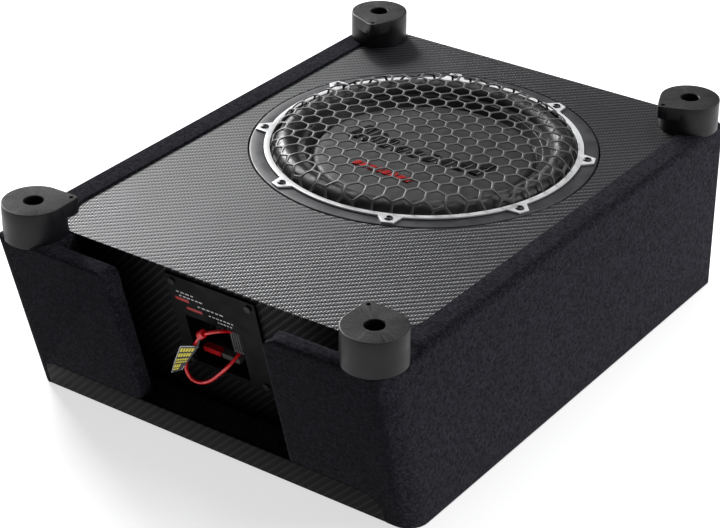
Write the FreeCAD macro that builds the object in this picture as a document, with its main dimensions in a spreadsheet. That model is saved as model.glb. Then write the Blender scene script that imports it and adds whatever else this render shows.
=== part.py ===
import FreeCAD, Part

import math
import os
import re

import Sketcher

# Powered car subwoofer: a shallow carpeted box with a 12 inch driver behind a domed grille, four
# corner feet, and an amplifier in the recess at the front.
# Frame: millimetres, +Z up out of the driver, -Y towards the amplifier recess, X across.
# The origin is the middle of the base, which lies on Z = 0. Plain section names: the "deck" is the
# board that carries the driver, a "cheek" is a side board, a "pillar" is the block that closes each
# end of the recess, and the "wall" is the sloping board at the back of the recess.

DIMENSIONS = {
    # box
    "half_width": 198.5,
    "half_depth": 272.8,
    "deck_top": 165.0,
    "pillar_top": 162.0,
    "step_rear": -215.0,
    "step_front": -221.0,
    "lean": 14.85,
    "board": 18.0,
    "joint_gap": 0.1,
    "carpet": 3.0,
    "vinyl": 1.0,
    "corner_radius": 22.0,
    "board_radius": 17.5,
    "carpet_clear": 0.5,
    "deck_front": -233.5,
    "deck_half": 174.5,
    "recess_half": 77.0,
    "notch_radius": 30.0,
    "floor_top": 22.0,
    "flange": 18.0,
    "slot_end": 142.0,
    "sill_top": 28.0,
    "sill_left": 188.0,
    "sill_right": 171.0,
    "sill_left_radius": 12.0,
    "sill_right_radius": 20.0,
    "base_inset": 9.0,
    # feet
    "foot_across": 172.5,
    "foot_front": -248.75,
    "foot_rear": 248.75,
    "foot_radius": 27.1,
    "foot_top": 194.0,
    "foot_hole": 8.3,
    "foot_seat": 175.0,
    "head_hole": 5.6,
    "head_seat": 169.5,
    "foot_clear": 0.4,
    "tab_reach": 38.3,
    "tab_thick": 12.0,
    "tab_hole": 2.0,
    "tab_hole_reach": 31.0,
    "front_tab_angle": 46.0,
    "rear_tab_angle": -67.0,
    "bolt_radius": 2.9,
    "bolt_clear": 3.3,
    "bolt_head": 5.0,
    "head_thick": 4.0,
    "insert_radius": 4.5,
    "insert_depth": 14.0,
    # driver
    "driver_place": 72.7,
    "rebate_radius": 158.0,
    "rebate_depth": 6.0,
    "cutout_radius": 141.0,
    "frame_radius": 155.5,
    "gasket_thick": 1.5,
    "frame_thick": 2.5,
    "trim_inner": 143.8,
    "trim_outer": 156.6,
    "trim_top": 166.5,
    "ring_inner": 136.7,
    "ring_outer": 143.5,
    "ring_top": 168.3,
    "ear_reach": 154.4,
    "screw_circle": 147.5,
    "screw_radius": 2.2,
    "screw_clear": 2.5,
    "screw_head": 3.9,
    "screw_count": 8.0,
    "first_screw": 22.5,
    "dome_top": 182.0,
    "dome_shoulder": 118.0,
    "dome_thick": 1.4,
    "roll_middle": 124.0,
    "roll_radius": 10.5,
    "roll_thick": 1.2,
    "cone_edge": 112.6,
    "cone_neck": 33.0,
    "neck_level": 141.0,
    "cone_thick": 1.2,
    "knee_radius": 102.5,
    "knee_level": 153.0,
    "cap_radius": 101.9,
    "cap_top": 160.3,
    "former_radius": 32.0,
    "former_foot": 98.0,
    "coil_thick": 1.0,
    "coil_low": 101.0,
    "coil_high": 119.0,
    "plate_low": 106.0,
    "plate_high": 114.0,
    "gap_outer": 34.4,
    "plate_radius": 66.0,
    "magnet_radius": 72.0,
    "magnet_bore": 40.0,
    "magnet_low": 84.0,
    "yoke_low": 76.0,
    "pole_radius": 30.2,
    "vent_radius": 10.0,
    "spider_outer": 66.0,
    "spider_level": 127.0,
    "seat_radius": 70.0,
    "window_count": 6.0,
    # amplifier, measured from the middle of its plate on the wall
    "plate_middle": 113.5,
    "plate_half_width": 46.0,
    "plate_half_height": 50.0,
    "plate_thick": 2.5,
    "pocket_left": -34.0,
    "pocket_right": 22.0,
    "pocket_low": -45.0,
    "pocket_high": 8.0,
    "pocket_deep": 24.0,
    "shell": 2.0,
    "cutout_clear": 1.0,
    "amp_screw_across": 39.0,
    "amp_screw_up": 43.5,
    "knob_radius": 4.0,
    "knob_length": 9.0,
    "knob_row": 1.0,
    "spindle_radius": 2.0,
    "spindle_bore": 2.06,
    "plug_across": 13.0,
    "plug_up": -8.5,
    "plug_wide": 14.0,
    "plug_tall": 28.0,
    "plug_front": -3.0,
    "socket_front": -14.0,
    "fuse_up": -37.5,
    "fuse_wide": 18.0,
    "fuse_tall": 5.5,
    "fuse_front": -6.0,
    "holder_front": -12.0,
    "cord_radius": 1.5,
    "lead_radius": 1.6,
}

DOC = FreeCAD.newDocument("car_subwoofer")
SHEET = DOC.addObject("Spreadsheet::Sheet", "dims")
PIECES = []

# Height-dependent places, as expressions in the sheet's words.
BASE_TOP = "(vinyl + board)"
DECK_LOW = "(deck_top - board)"
WALL_PLACE = "(deck_front + (deck_top - plate_middle) * tan(lean))"

# Route of the pull loop: control points of its centre line, from the plug's face round to its foot.
LOOP_ROUTE = [
    (9.0, -217.6, 116.2),
    (6.0, -227.5, 120.0),
    (-0.5, -232.5, 119.0),
    (-10.0, -233.0, 114.0),
    (-19.5, -229.5, 101.0),
    (-30.5, -224.5, 84.0),
    (-40.0, -221.0, 67.5),
    (-37.5, -218.5, 55.0),
    (-27.0, -218.0, 53.0),
    (-14.5, -219.0, 60.0),
    (-4.5, -219.5, 70.5),
    (4.0, -219.5, 80.0),
    (8.5, -213.5, 87.5),
    (9.0, -206.3, 91.6),
]

# Where the crimp closes the pull loop, and the corner that the tag is drawn from.
CRIMP_PLACE = ("-10", "-233", "114")
TAG_CORNER = ("-47.5", "-228.5", "76")

# Places of the rotary controls across the pocket.
KNOBS = {"gain_knob": "-28", "crossover_knob": "-17", "bass_knob": "-6"}

# Route of the right-hand speaker lead, from the amplifier board over the heatsink to the driver.
LEAD_ROUTE = [
    (30.0, -184.9, 131.0),
    (30.0, -172.0, 135.2),
    (29.5, -156.0, 141.0),
    (28.5, -138.0, 141.5),
    (26.0, -120.0, 138.5),
    (21.0, -102.0, 134.0),
    (15.0, -83.0, 132.0),
    (12.0, -64.0, 132.5),
    (12.0, -45.6, 133.0),
]


def fill_sheet():
    """Put each driving dimension in a cell under its own alias."""
    for row, (alias, number) in enumerate(DIMENSIONS.items(), start=1):
        SHEET.set(f"A{row}", alias)
        SHEET.set(f"B{row}", str(number))
        SHEET.setAlias(f"B{row}", alias)
    DOC.recompute()


def bound(expression):
    """Return an expression with each alias written as a reference to the sheet."""

    def refer(word):
        return "dims." + word[0] if word[0] in DIMENSIONS else word[0]

    return re.sub(r"[a-z_]+", refer, str(expression))


def size(expression):
    """Return the number that an expression in the sheet's words stands for."""
    return float(SHEET.evalExpression(bound(expression)))


def bind(item, **expressions):
    """Tie properties of an object to expressions in the sheet's words."""
    for name, expression in expressions.items():
        item.setExpression(name, bound(expression))
    return item


def move(item, across="0", along="0", up="0", turn=None):
    """Place an object, with its base point tied to the sheet."""
    if turn is not None:
        item.Placement = FreeCAD.Placement(FreeCAD.Vector(), turn)
    for axis, expression in zip("xyz", (across, along, up)):
        item.setExpression(".Placement.Base." + axis, bound(expression))
    return item


def move_on_wall(item, across="0", up="0", out="0"):
    """Place an object in the wall's own frame: X across, Y up the slope, Z out of the wall."""
    turn = FreeCAD.Rotation(FreeCAD.Vector(1, 0, 0), 90 + size("lean"))
    along = f"{WALL_PLACE} - ({up}) * sin(lean) - ({out}) * cos(lean)"
    height = f"plate_middle + ({up}) * cos(lean) - ({out}) * sin(lean)"
    return move(item, across, along, height, turn)


def piece(item, label):
    """Give a sub-part its own name and put it on the list of pieces to write."""
    item.Label = label
    PIECES.append(item)
    return item


def box(length, width, height):
    """Return a block with one corner at its base point."""
    return bind(DOC.addObject("Part::Box", "block"), Length=length, Width=width, Height=height)


def rod(radius, height):
    """Return a cylinder that stands on its base point."""
    return bind(DOC.addObject("Part::Cylinder", "rod"), Radius=radius, Height=height)


def fuse(items):
    """Return several overlapping or touching shapes as one."""
    result = DOC.addObject("Part::MultiFuse", "fused")
    result.Shapes = items
    return result


def cut(base, tool):
    """Return a shape with another one taken away."""
    result = DOC.addObject("Part::Cut", "trimmed")
    result.Base = base
    result.Tool = tool
    return result


def group(items):
    """Return separate solids that share one node."""
    result = DOC.addObject("Part::Compound", "group")
    result.Links = items
    return result


def new_body(name):
    return DOC.addObject("PartDesign::Body", name)


def new_sketch(body, role, offset="0"):
    """Return an empty sketch on one of the body's own origin planes, moved along its normal."""
    plane = next(item for item in body.Origin.OriginFeatures if item.Role == role)
    result = body.newObject("Sketcher::SketchObject", "outline")
    result.AttachmentSupport = [(plane, "")]
    result.MapMode = "FlatFace"
    result.setExpression(".AttachmentOffset.Base.z", bound(offset))
    return result


def pin_point(sketch, index, spot, across, up):
    """Tie one point of a sketch to the sheet by its distances from the sketch's origin."""
    for kind, expression in (("DistanceX", across), ("DistanceY", up)):
        number = sketch.addConstraint(Sketcher.Constraint(kind, -1, 1, index, spot, size(expression)))
        sketch.setExpression(f"Constraints[{number}]", bound(expression))


def polygon(sketch, corners):
    """Draw a closed outline through corners given as pairs of expressions."""
    points = [FreeCAD.Vector(size(across), size(up), 0) for across, up in corners]
    first = sketch.GeometryCount
    count = len(points)
    for step in range(count):
        sketch.addGeometry(Part.LineSegment(points[step], points[(step + 1) % count]))
    for step in range(count):
        after = first + (step + 1) % count
        sketch.addConstraint(Sketcher.Constraint("Coincident", first + step, 2, after, 1))
    for step, (across, up) in enumerate(corners):
        pin_point(sketch, first + step, 1, across, up)
    return sketch


def circle(sketch, across, up, radius):
    """Draw a circle with its middle and radius tied to the sheet."""
    middle = FreeCAD.Vector(size(across), size(up), 0)
    index = sketch.addGeometry(Part.Circle(middle, FreeCAD.Vector(0, 0, 1), size(radius)))
    pin_point(sketch, index, 3, across, up)
    number = sketch.addConstraint(Sketcher.Constraint("Radius", index, size(radius)))
    sketch.setExpression(f"Constraints[{number}]", bound(radius))
    return sketch


def pad(body, sketch, length):
    """Raise a sketch along its plane's normal."""
    result = body.newObject("PartDesign::Pad", "pad")
    result.Profile = sketch
    bind(result, Length=length)
    sketch.Visibility = False
    return result


def pocket(body, sketch, depth, forward=False):
    """Sink a sketch against its plane's normal, or along it."""
    result = body.newObject("PartDesign::Pocket", "pocket")
    result.Profile = sketch
    bind(result, Length=depth)
    result.Reversed = forward
    return result


def revolve(body, sketch):
    """Turn a sketch about its own vertical axis."""
    result = body.newObject("PartDesign::Revolution", "turned")
    result.Profile = sketch
    result.ReferenceAxis = (sketch, ["V_Axis"])
    result.Angle = 360
    return result


def repeat_round(body, features, count):
    """Repeat features evenly about the body's Z axis."""
    axis = next(item for item in body.Origin.OriginFeatures if item.Role == "Z_Axis")
    result = body.newObject("PartDesign::PolarPattern", "repeat")
    result.Originals = features
    result.Axis = (axis, [""])
    result.Angle = 360
    bind(result, Occurrences=count)
    body.Tip = result
    return result


def round_edge(body, base, radius, middle):
    """Round the one edge of a feature whose middle is nearest to a place."""
    DOC.recompute()
    target = FreeCAD.Vector(*[size(part) for part in middle])
    edges = base.Shape.Edges
    nearest = min(range(len(edges)), key=lambda index: edges[index].CenterOfMass.distanceToPoint(target))
    result = body.newObject("PartDesign::Fillet", "rounding")
    result.Base = (base, [f"Edge{nearest + 1}"])
    bind(result, Radius=radius)
    return result


def slope(start, height):
    """Return where a leaning face lies at some height, from its place at the deck's top."""
    return f"({start}) + (deck_top - ({height})) * tan(lean)"


def front_face(height, inset="0"):
    """Return where the front lies at some height, less an inset measured square to it."""
    return slope(f"-half_depth + ({inset}) / cos(lean)", height)


def wall_face(height, inset="0"):
    """Return where the wall's vinyl lies at some height, less a depth measured square to it."""
    return slope(f"deck_front + ({inset}) / cos(lean)", height)


def side_slab(name, corners, start, width):
    """Return a body made from an outline in the YZ plane, raised across the box."""
    body = new_body(name)
    outline = polygon(new_sketch(body, "YZ_Plane", start), corners)
    return body, pad(body, outline, width)


def mirror_side(name, item):
    """Return the right-hand twin of a left-hand piece."""
    result = DOC.addObject("Part::Mirroring", name)
    result.Source = item
    result.Normal = FreeCAD.Vector(1, 0, 0)
    return result


# ---- box -------------------------------------------------------------------------------------


def make_base_board():
    corners = [
        ("half_depth - carpet", "vinyl"),
        ("half_depth - carpet", BASE_TOP),
        (front_face(BASE_TOP, "carpet"), BASE_TOP),
        (front_face("vinyl", "carpet"), "vinyl"),
    ]
    body, slab = side_slab("base_body", corners, "carpet - half_width", "2 * (half_width - carpet)")
    middle = f"(vinyl + {BASE_TOP}) / 2"
    for side in ("-1", "1"):
        edge = (f"{side} * (half_width - carpet)", front_face(middle, "carpet"), middle)
        slab = round_edge(body, slab, "board_radius", edge)
    piece(body, "base_board")


def make_deck_board():
    front_low = wall_face(DECK_LOW, "vinyl")
    front_high = wall_face("deck_top", "vinyl")
    corners = [
        ("half_depth - carpet", DECK_LOW),
        ("half_depth - carpet", "deck_top"),
        (front_high, "deck_top"),
        (front_low, DECK_LOW),
    ]
    width = "2 * (half_width - carpet - board - joint_gap)"
    body, _ = side_slab("deck_body", corners, f"-({width}) / 2", width)
    rebate = circle(new_sketch(body, "XY_Plane", "deck_top"), "0", "driver_place", "rebate_radius")
    pocket(body, rebate, "rebate_depth")
    opening = circle(new_sketch(body, "XY_Plane", "deck_top"), "0", "driver_place", "cutout_radius")
    pocket(body, opening, "board")
    for side in ("-1", "1"):
        hole = new_sketch(body, "XY_Plane", "deck_top")
        circle(hole, f"{side} * foot_across", "foot_rear", "insert_radius")
        pocket(body, hole, "insert_depth")
        seat = new_sketch(body, "XY_Plane", "deck_top")
        circle(seat, f"{side} * foot_across", "foot_front", "foot_radius + foot_clear")
        pocket(body, seat, "deck_top - pillar_top")
        corner = [
            (f"{side} * deck_half", "step_rear + joint_gap"),
            (f"{side} * half_width", "step_rear + joint_gap"),
            (f"{side} * half_width", "2 * deck_front"),
            (f"{side} * deck_half", "2 * deck_front"),
        ]
        notch = polygon(new_sketch(body, "XY_Plane", "deck_top"), corner)
        pocket(body, notch, "deck_top - pillar_top + joint_gap")
    pilot = new_sketch(body, "XY_Plane", "deck_top")
    for step in range(int(size("screw_count"))):
        angle = f"(first_screw + {step} * 360 / screw_count)"
        across = f"screw_circle * cos{angle}"
        along = f"driver_place + screw_circle * sin{angle}"
        circle(pilot, across, along, "screw_radius")
    pocket(body, pilot, "board - joint_gap")
    piece(body, "baffle_board")


def make_rear_board():
    width = "2 * (half_width - carpet - board - joint_gap)"
    board = box(width, "board", f"{DECK_LOW} - {BASE_TOP}")
    piece(move(board, f"-({width}) / 2", "half_depth - carpet - board", BASE_TOP), "rear_board")


def make_wall_board():
    corners = [
        (wall_face(BASE_TOP, "vinyl"), BASE_TOP),
        (wall_face(DECK_LOW, "vinyl"), DECK_LOW),
        (wall_face(DECK_LOW, "vinyl + board"), DECK_LOW),
        (wall_face(BASE_TOP, "vinyl + board"), BASE_TOP),
    ]
    width = "2 * (half_width - carpet - board - joint_gap)"
    body, _ = side_slab("wall_body", corners, f"-({width}) / 2", width)
    hole = box(
        "pocket_right - pocket_left + 2 * shell + 2 * cutout_clear",
        "pocket_high - pocket_low + 2 * shell + 2 * cutout_clear",
        "3 * board",
    )
    margin = "(shell + cutout_clear)"
    move_on_wall(hole, f"pocket_left - {margin}", f"pocket_low - {margin}", "-2 * board")
    piece(cut(body, hole), "amp_wall_board")


def make_cheek_board():
    corners = [
        ("half_depth - carpet", BASE_TOP),
        ("half_depth - carpet", "deck_top"),
        ("step_rear", "deck_top"),
        ("step_front", "pillar_top"),
        (front_face("pillar_top", "carpet"), "pillar_top"),
        (front_face(BASE_TOP, "carpet"), BASE_TOP),
    ]
    body, slab = side_slab("cheek_body", corners, "carpet - half_width", "board")
    middle = f"(pillar_top + {BASE_TOP}) / 2"
    round_edge(body, slab, "board_radius", ("carpet - half_width", front_face(middle, "carpet"), middle))
    piece(body, "left_cheek_board")
    piece(mirror_side("right_cheek", body), "right_cheek_board")


def front_slot(name, grown):
    """Return the space behind a front flange, as large as seen or grown by its carpet."""
    rear = "carpet"
    low = f"(floor_top - {grown})"
    inset = f"flange - {grown}"
    corners = [
        (wall_face(low, rear), low),
        (wall_face("2 * deck_top", rear), "2 * deck_top"),
        (front_face("2 * deck_top", inset), "2 * deck_top"),
        (front_face(low, inset), low),
    ]
    body, _ = side_slab(name, corners, f"-slot_end - {grown}", f"slot_end + {grown} - recess_half + board")
    return body


def make_pillar():
    """The corner block carries the foot, and a flange of the same piece reaches in beside the recess."""
    corners = [
        (wall_face(BASE_TOP, "-joint_gap"), BASE_TOP),
        (wall_face("pillar_top", "-joint_gap"), "pillar_top"),
        (front_face("pillar_top", "carpet"), "pillar_top"),
        (front_face(BASE_TOP, "carpet"), BASE_TOP),
    ]
    start = "carpet + board + joint_gap - half_width"
    width = "half_width - 2 * carpet - board - joint_gap - recess_half"
    body, slab = side_slab("pillar_body", corners, start, width)
    top = (f"({wall_face('pillar_top')} + {front_face('pillar_top', 'carpet')}) / 2", "pillar_top")
    round_edge(body, slab, "notch_radius - carpet", ("-recess_half - carpet", *top))
    hole = circle(new_sketch(body, "XY_Plane", "pillar_top"), "-foot_across", "foot_front", "insert_radius")
    pocket(body, hole, "insert_depth")
    pillar = cut(body, front_slot("pillar_slot", "carpet"))
    piece(pillar, "left_pillar")
    piece(mirror_side("right_pillar_twin", pillar), "right_pillar")


def make_carpet():
    """Carpet wraps the cheek, the deck's edge, the back corner, the pillar and both sides of its flange."""
    outer = [
        ("half_depth", "carpet_clear"),
        ("half_depth", "deck_top + carpet"),
        ("step_rear", "deck_top + carpet"),
        ("step_front", "pillar_top + carpet"),
        ("-half_depth", "deck_top"),
        (front_face("carpet_clear"), "carpet_clear"),
    ]
    skin, slab = side_slab("carpet_outer", outer, "-half_width", "half_width - recess_half")
    behind = [
        ("2 * half_depth", "-carpet"),
        ("2 * half_depth", "2 * deck_top"),
        (wall_face("2 * deck_top"), "2 * deck_top"),
        (wall_face("-carpet"), "-carpet"),
    ]
    clearing = polygon(new_sketch(skin, "YZ_Plane", "-deck_half - carpet / 4"), behind)
    slab = pocket(skin, clearing, "2 * half_width", True)
    middle = "deck_top / 2"
    slab = round_edge(skin, slab, "corner_radius", ("-half_width", front_face(middle), middle))
    top = (f"({wall_face('deck_top')} - half_depth) / 2", "deck_top")
    round_edge(skin, slab, "notch_radius", ("-recess_half", *top))
    inner = [
        ("half_depth - carpet", "-carpet"),
        ("half_depth - carpet", "deck_top"),
        ("step_rear", "deck_top"),
        ("step_front", "pillar_top"),
        (front_face("pillar_top", "carpet"), "pillar_top"),
        (front_face("-carpet", "carpet"), "-carpet"),
    ]
    core, slab = side_slab("carpet_core", inner, "carpet - half_width", "half_width - deck_half")
    round_edge(core, slab, "board_radius", ("carpet - half_width", front_face(middle, "carpet"), middle))
    block = [
        (wall_face("-carpet", "carpet"), "-carpet"),
        (wall_face("pillar_top", "carpet"), "pillar_top"),
        (front_face("pillar_top", "carpet"), "pillar_top"),
        (front_face("-carpet", "carpet"), "-carpet"),
    ]
    start = "carpet + board_radius - half_width"
    width = "half_width - recess_half - 2 * carpet - board_radius"
    pillar, slab = side_slab("carpet_pillar", block, start, width)
    top = (f"({front_face('pillar_top', 'carpet')} + {wall_face('pillar_top', 'carpet')}) / 2", "pillar_top")
    round_edge(pillar, slab, "notch_radius - carpet", ("-recess_half - carpet", *top))
    feet = [
        move(rod("foot_radius + foot_clear", "board"), "-foot_across", place, base)
        for place, base in (("foot_front", "pillar_top"), ("foot_rear", "deck_top"))
    ]
    reach = "sill_left + sill_right + 2 * joint_gap"
    low_clearing = move(
        box(reach, "deck_top", "floor_top + vinyl + joint_gap"),
        "-sill_left - joint_gap",
        f"{front_face('floor_top')} - carpet",
    )
    high_clearing = move(
        box(reach, "3 * carpet - vinyl", "sill_top + vinyl + joint_gap"),
        "-sill_left - joint_gap",
        f"{front_face('sill_top')} - carpet",
    )
    sill = fuse([low_clearing, high_clearing])
    backing = cut(pillar, front_slot("backing_slot", "carpet"))
    carpet = cut(skin, fuse([core, backing, front_slot("carpet_slot", "0"), *feet]))
    piece(cut(carpet, sill), "left_carpet")
    piece(cut(mirror_side("right_carpet_twin", carpet), sill), "right_carpet")


def make_floor_carpet():
    """The recess floor runs on behind both flanges."""
    strips = []
    for name, inset, half in (("floor_body", "carpet", "(recess_half - joint_gap)"),
                              ("floor_ends", "flange", "(slot_end - joint_gap)")):
        corners = [
            (wall_face(BASE_TOP, "-joint_gap"), BASE_TOP),
            (wall_face("floor_top", "-joint_gap"), "floor_top"),
            (front_face("floor_top", f"{inset} + joint_gap"), "floor_top"),
            (front_face(BASE_TOP, f"{inset} + joint_gap"), BASE_TOP),
        ]
        strips.append(side_slab(name, corners, f"-{half}", f"2 * {half}")[0])
    piece(fuse(strips), "recess_floor_carpet")


def make_sill():
    """The bottom front edge is covered by a strip of vinyl, shorter and rounder at its right end."""
    body = new_body("sill_body")
    corners = [
        ("-sill_left", "0"),
        ("sill_right", "0"),
        ("sill_right", "sill_top / cos(lean)"),
        ("-sill_left", "sill_top / cos(lean)"),
    ]
    slab = pad(body, polygon(new_sketch(body, "XY_Plane"), corners), "carpet - joint_gap")
    for end, radius in (("-sill_left", "sill_left_radius"), ("sill_right", "sill_right_radius")):
        slab = round_edge(body, slab, radius, (end, "sill_top / cos(lean)", "carpet / 2"))
    turn = FreeCAD.Rotation(FreeCAD.Vector(1, 0, 0), 90 + size("lean"))
    low = "carpet * sin(lean)"
    move(body, "0", front_face(low, "carpet - joint_gap"), low, turn)
    piece(body, "front_sill_trim")


def make_deck_vinyl():
    """The deck's vinyl stops short of the carpet at the front corners, in four short steps."""
    body = new_body("deck_vinyl_body")
    right = [
        ("deck_half", "half_depth - carpet + vinyl"),
        ("deck_half", "-183"),
        ("deck_half - 1", "-193.8"),
        ("deck_half - 8", "-203.6"),
        ("deck_half - 8", "-217.4"),
        ("deck_half - 21.5", "deck_front"),
    ]
    left = [(f"-({across})", along) for across, along in reversed(right)]
    outline = polygon(new_sketch(body, "XY_Plane", "deck_top"), right + left)
    circle(outline, "0", "driver_place", "rebate_radius")
    pad(body, outline, "vinyl")
    feet = new_sketch(body, "XY_Plane", "deck_top + vinyl")
    for side in ("-1", "1"):
        for place in ("foot_front", "foot_rear"):
            circle(feet, f"{side} * foot_across", place, "foot_radius + foot_clear")
    pocket(body, feet, "2 * vinyl")
    piece(body, "baffle_vinyl")


def make_wall_vinyl():
    corners = [
        (wall_face(BASE_TOP), BASE_TOP),
        (wall_face("deck_top"), "deck_top"),
        (wall_face("deck_top", "vinyl"), "deck_top"),
        (wall_face(BASE_TOP, "vinyl"), BASE_TOP),
    ]
    half = "(deck_half - 31.5)"
    body, _ = side_slab("wall_vinyl_body", corners, f"-{half}", f"2 * {half}")
    hole = box("pocket_right - pocket_left + 2 * shell", "pocket_high - pocket_low + 2 * shell", "3 * board")
    move_on_wall(hole, "pocket_left - shell", "pocket_low - shell", "-2 * board")
    piece(cut(body, hole), "amp_wall_vinyl")


def make_rear_vinyl():
    sheet = box("2 * deck_half", "vinyl", "deck_top - vinyl")
    piece(move(sheet, "-deck_half", "half_depth - carpet", "vinyl"), "rear_vinyl")


def make_base_vinyl():
    body = new_body("base_vinyl_body")
    edge = "(half_width - base_inset)"
    front = f"({front_face('0')} + base_inset)"
    rear = "(half_depth - base_inset)"
    corners = [(f"-{edge}", front), (edge, front), (edge, rear), (f"-{edge}", rear)]
    slab = pad(body, polygon(new_sketch(body, "XY_Plane"), corners), "vinyl")
    for across, along in corners:
        slab = round_edge(body, slab, "corner_radius", (across, along, "vinyl / 2"))
    piece(body, "base_vinyl")


# ---- feet ------------------------------------------------------------------------------------


def make_foot(label, side, along, base, angle):
    """A round foot with a stepped bolt hole and a pointed tab that overhangs towards the middle."""
    body = new_body(label + "_body")
    height = f"(foot_top - {base})"
    pad(body, circle(new_sketch(body, "XY_Plane"), "0", "0", "foot_radius"), height)
    angle = f"({angle})" if side < 0 else f"(180 - ({angle}))"
    tangent = "(acos(foot_radius / tab_reach) / 1deg)"
    tab = [
        (f"foot_radius * cos({angle} + {tangent})", f"foot_radius * sin({angle} + {tangent})"),
        ("0", "0"),
        (f"foot_radius * cos({angle} - {tangent})", f"foot_radius * sin({angle} - {tangent})"),
        (f"tab_reach * cos({angle})", f"tab_reach * sin({angle})"),
    ]
    pad(body, polygon(new_sketch(body, "XY_Plane", f"{height} - tab_thick"), tab), "tab_thick")
    for radius, depth in (
        ("foot_hole", "foot_top - foot_seat"),
        ("head_hole", "foot_top - head_seat"),
        ("bolt_clear", height),
    ):
        pocket(body, circle(new_sketch(body, "XY_Plane", height), "0", "0", radius), depth)
    eye = (f"tab_hole_reach * cos({angle})", f"tab_hole_reach * sin({angle})")
    pocket(body, circle(new_sketch(body, "XY_Plane", height), *eye, "tab_hole"), "tab_thick")
    piece(move(body, f"{side} * foot_across", along, base), label)


def make_feet():
    bolts = []
    inserts = []
    places = {
        "front_left_foot": (-1, "foot_front", "pillar_top", "front_tab_angle"),
        "front_right_foot": (1, "foot_front", "pillar_top", "front_tab_angle"),
        "rear_left_foot": (-1, "foot_rear", "deck_top", "rear_tab_angle"),
        "rear_right_foot": (1, "foot_rear", "deck_top", "rear_tab_angle"),
    }
    for label, (side, along, base, angle) in places.items():
        make_foot(label, side, along, base, angle)
        across = f"{side} * foot_across"
        head = move(rod("bolt_head", "head_thick"), across, along, "head_seat")
        shank_low = f"({base} - insert_depth + 2)"
        shank = move(rod("bolt_radius", f"head_seat - {shank_low}"), across, along, shank_low)
        socket = move(rod("bolt_radius / 1.2", "head_thick"), across, along, "head_seat + head_thick / 2")
        bolts.append(cut(fuse([head, shank]), socket))
        bush = move(rod("insert_radius", "insert_depth"), across, along, f"{base} - insert_depth")
        bore = move(rod("bolt_radius", "2 * insert_depth"), across, along, f"{base} - 1.5 * insert_depth")
        inserts.append(cut(bush, bore))
    piece(group(bolts), "foot_bolts")
    piece(group(inserts), "foot_inserts")


# ---- driver ----------------------------------------------------------------------------------

REBATE_FLOOR = "(deck_top - rebate_depth)"
FRAME_LOW = f"({REBATE_FLOOR} + gasket_thick)"
FRAME_TOP = f"({FRAME_LOW} + frame_thick)"


def turned(label, corners):
    """Return a piece turned about the driver's axis, from pairs of radius and height."""
    body = new_body(label + "_body")
    revolve(body, polygon(new_sketch(body, "XZ_Plane"), corners))
    return piece(move(body, "0", "driver_place", "0"), label)


def ring(label, inner, outer, low, high):
    return turned(label, [(inner, low), (outer, low), (outer, high), (inner, high)])


def drill_round(body, level, depth, radius):
    """Drill one hole per driver screw."""
    holes = new_sketch(body, "XY_Plane", level)
    for step in range(int(size("screw_count"))):
        angle = f"(first_screw + {step} * 360 / screw_count)"
        circle(holes, f"screw_circle * cos{angle}", f"screw_circle * sin{angle}", radius)
    pocket(body, holes, depth)


def make_gasket():
    body = ring("gasket", "cutout_radius + 1", "frame_radius", REBATE_FLOOR, FRAME_LOW)
    drill_round(body, FRAME_LOW, "2 * gasket_thick", "screw_clear")


def make_basket():
    """Pressed frame: mounting flange, sloping arms, a spider shelf and the seat for the motor."""
    spider_seat = "(spider_level - 0.7)"
    corners = [
        ("frame_radius", FRAME_LOW),
        ("frame_radius", FRAME_TOP),
        ("136", FRAME_TOP),
        ("134", f"{FRAME_TOP} - 4"),
        ("108", "142.5"),
        ("spider_outer + 8", spider_seat),
        ("spider_outer - 4", spider_seat),
        ("spider_outer - 4", f"{spider_seat} - 3"),
        ("seat_radius - 8", "plate_high + 3"),
        ("gap_outer + 6", "plate_high + 3"),
        ("gap_outer + 6", "plate_high"),
        ("seat_radius", "plate_high"),
        ("seat_radius + 7", f"{spider_seat} - 4"),
        ("111", "138.5"),
        ("138.5", f"{FRAME_LOW} - 6"),
        ("139.5", FRAME_LOW),
    ]
    body = turned("basket", corners)
    drill_round(body, FRAME_TOP, "2 * frame_thick", "screw_clear")
    window = [("84", "-22"), ("126", "-34"), ("132", "0"), ("126", "34"), ("84", "22")]
    cutter = polygon(new_sketch(body, "XY_Plane", f"{FRAME_LOW} - 1"), window)
    opening = pocket(body, cutter, "40")
    repeat_round(body, [opening], "window_count")


def make_trim_ring():
    body = ring("trim_ring", "trim_inner", "trim_outer", FRAME_TOP, "trim_top")
    drill_round(body, "trim_top", "4 * frame_thick", "screw_clear")


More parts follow.
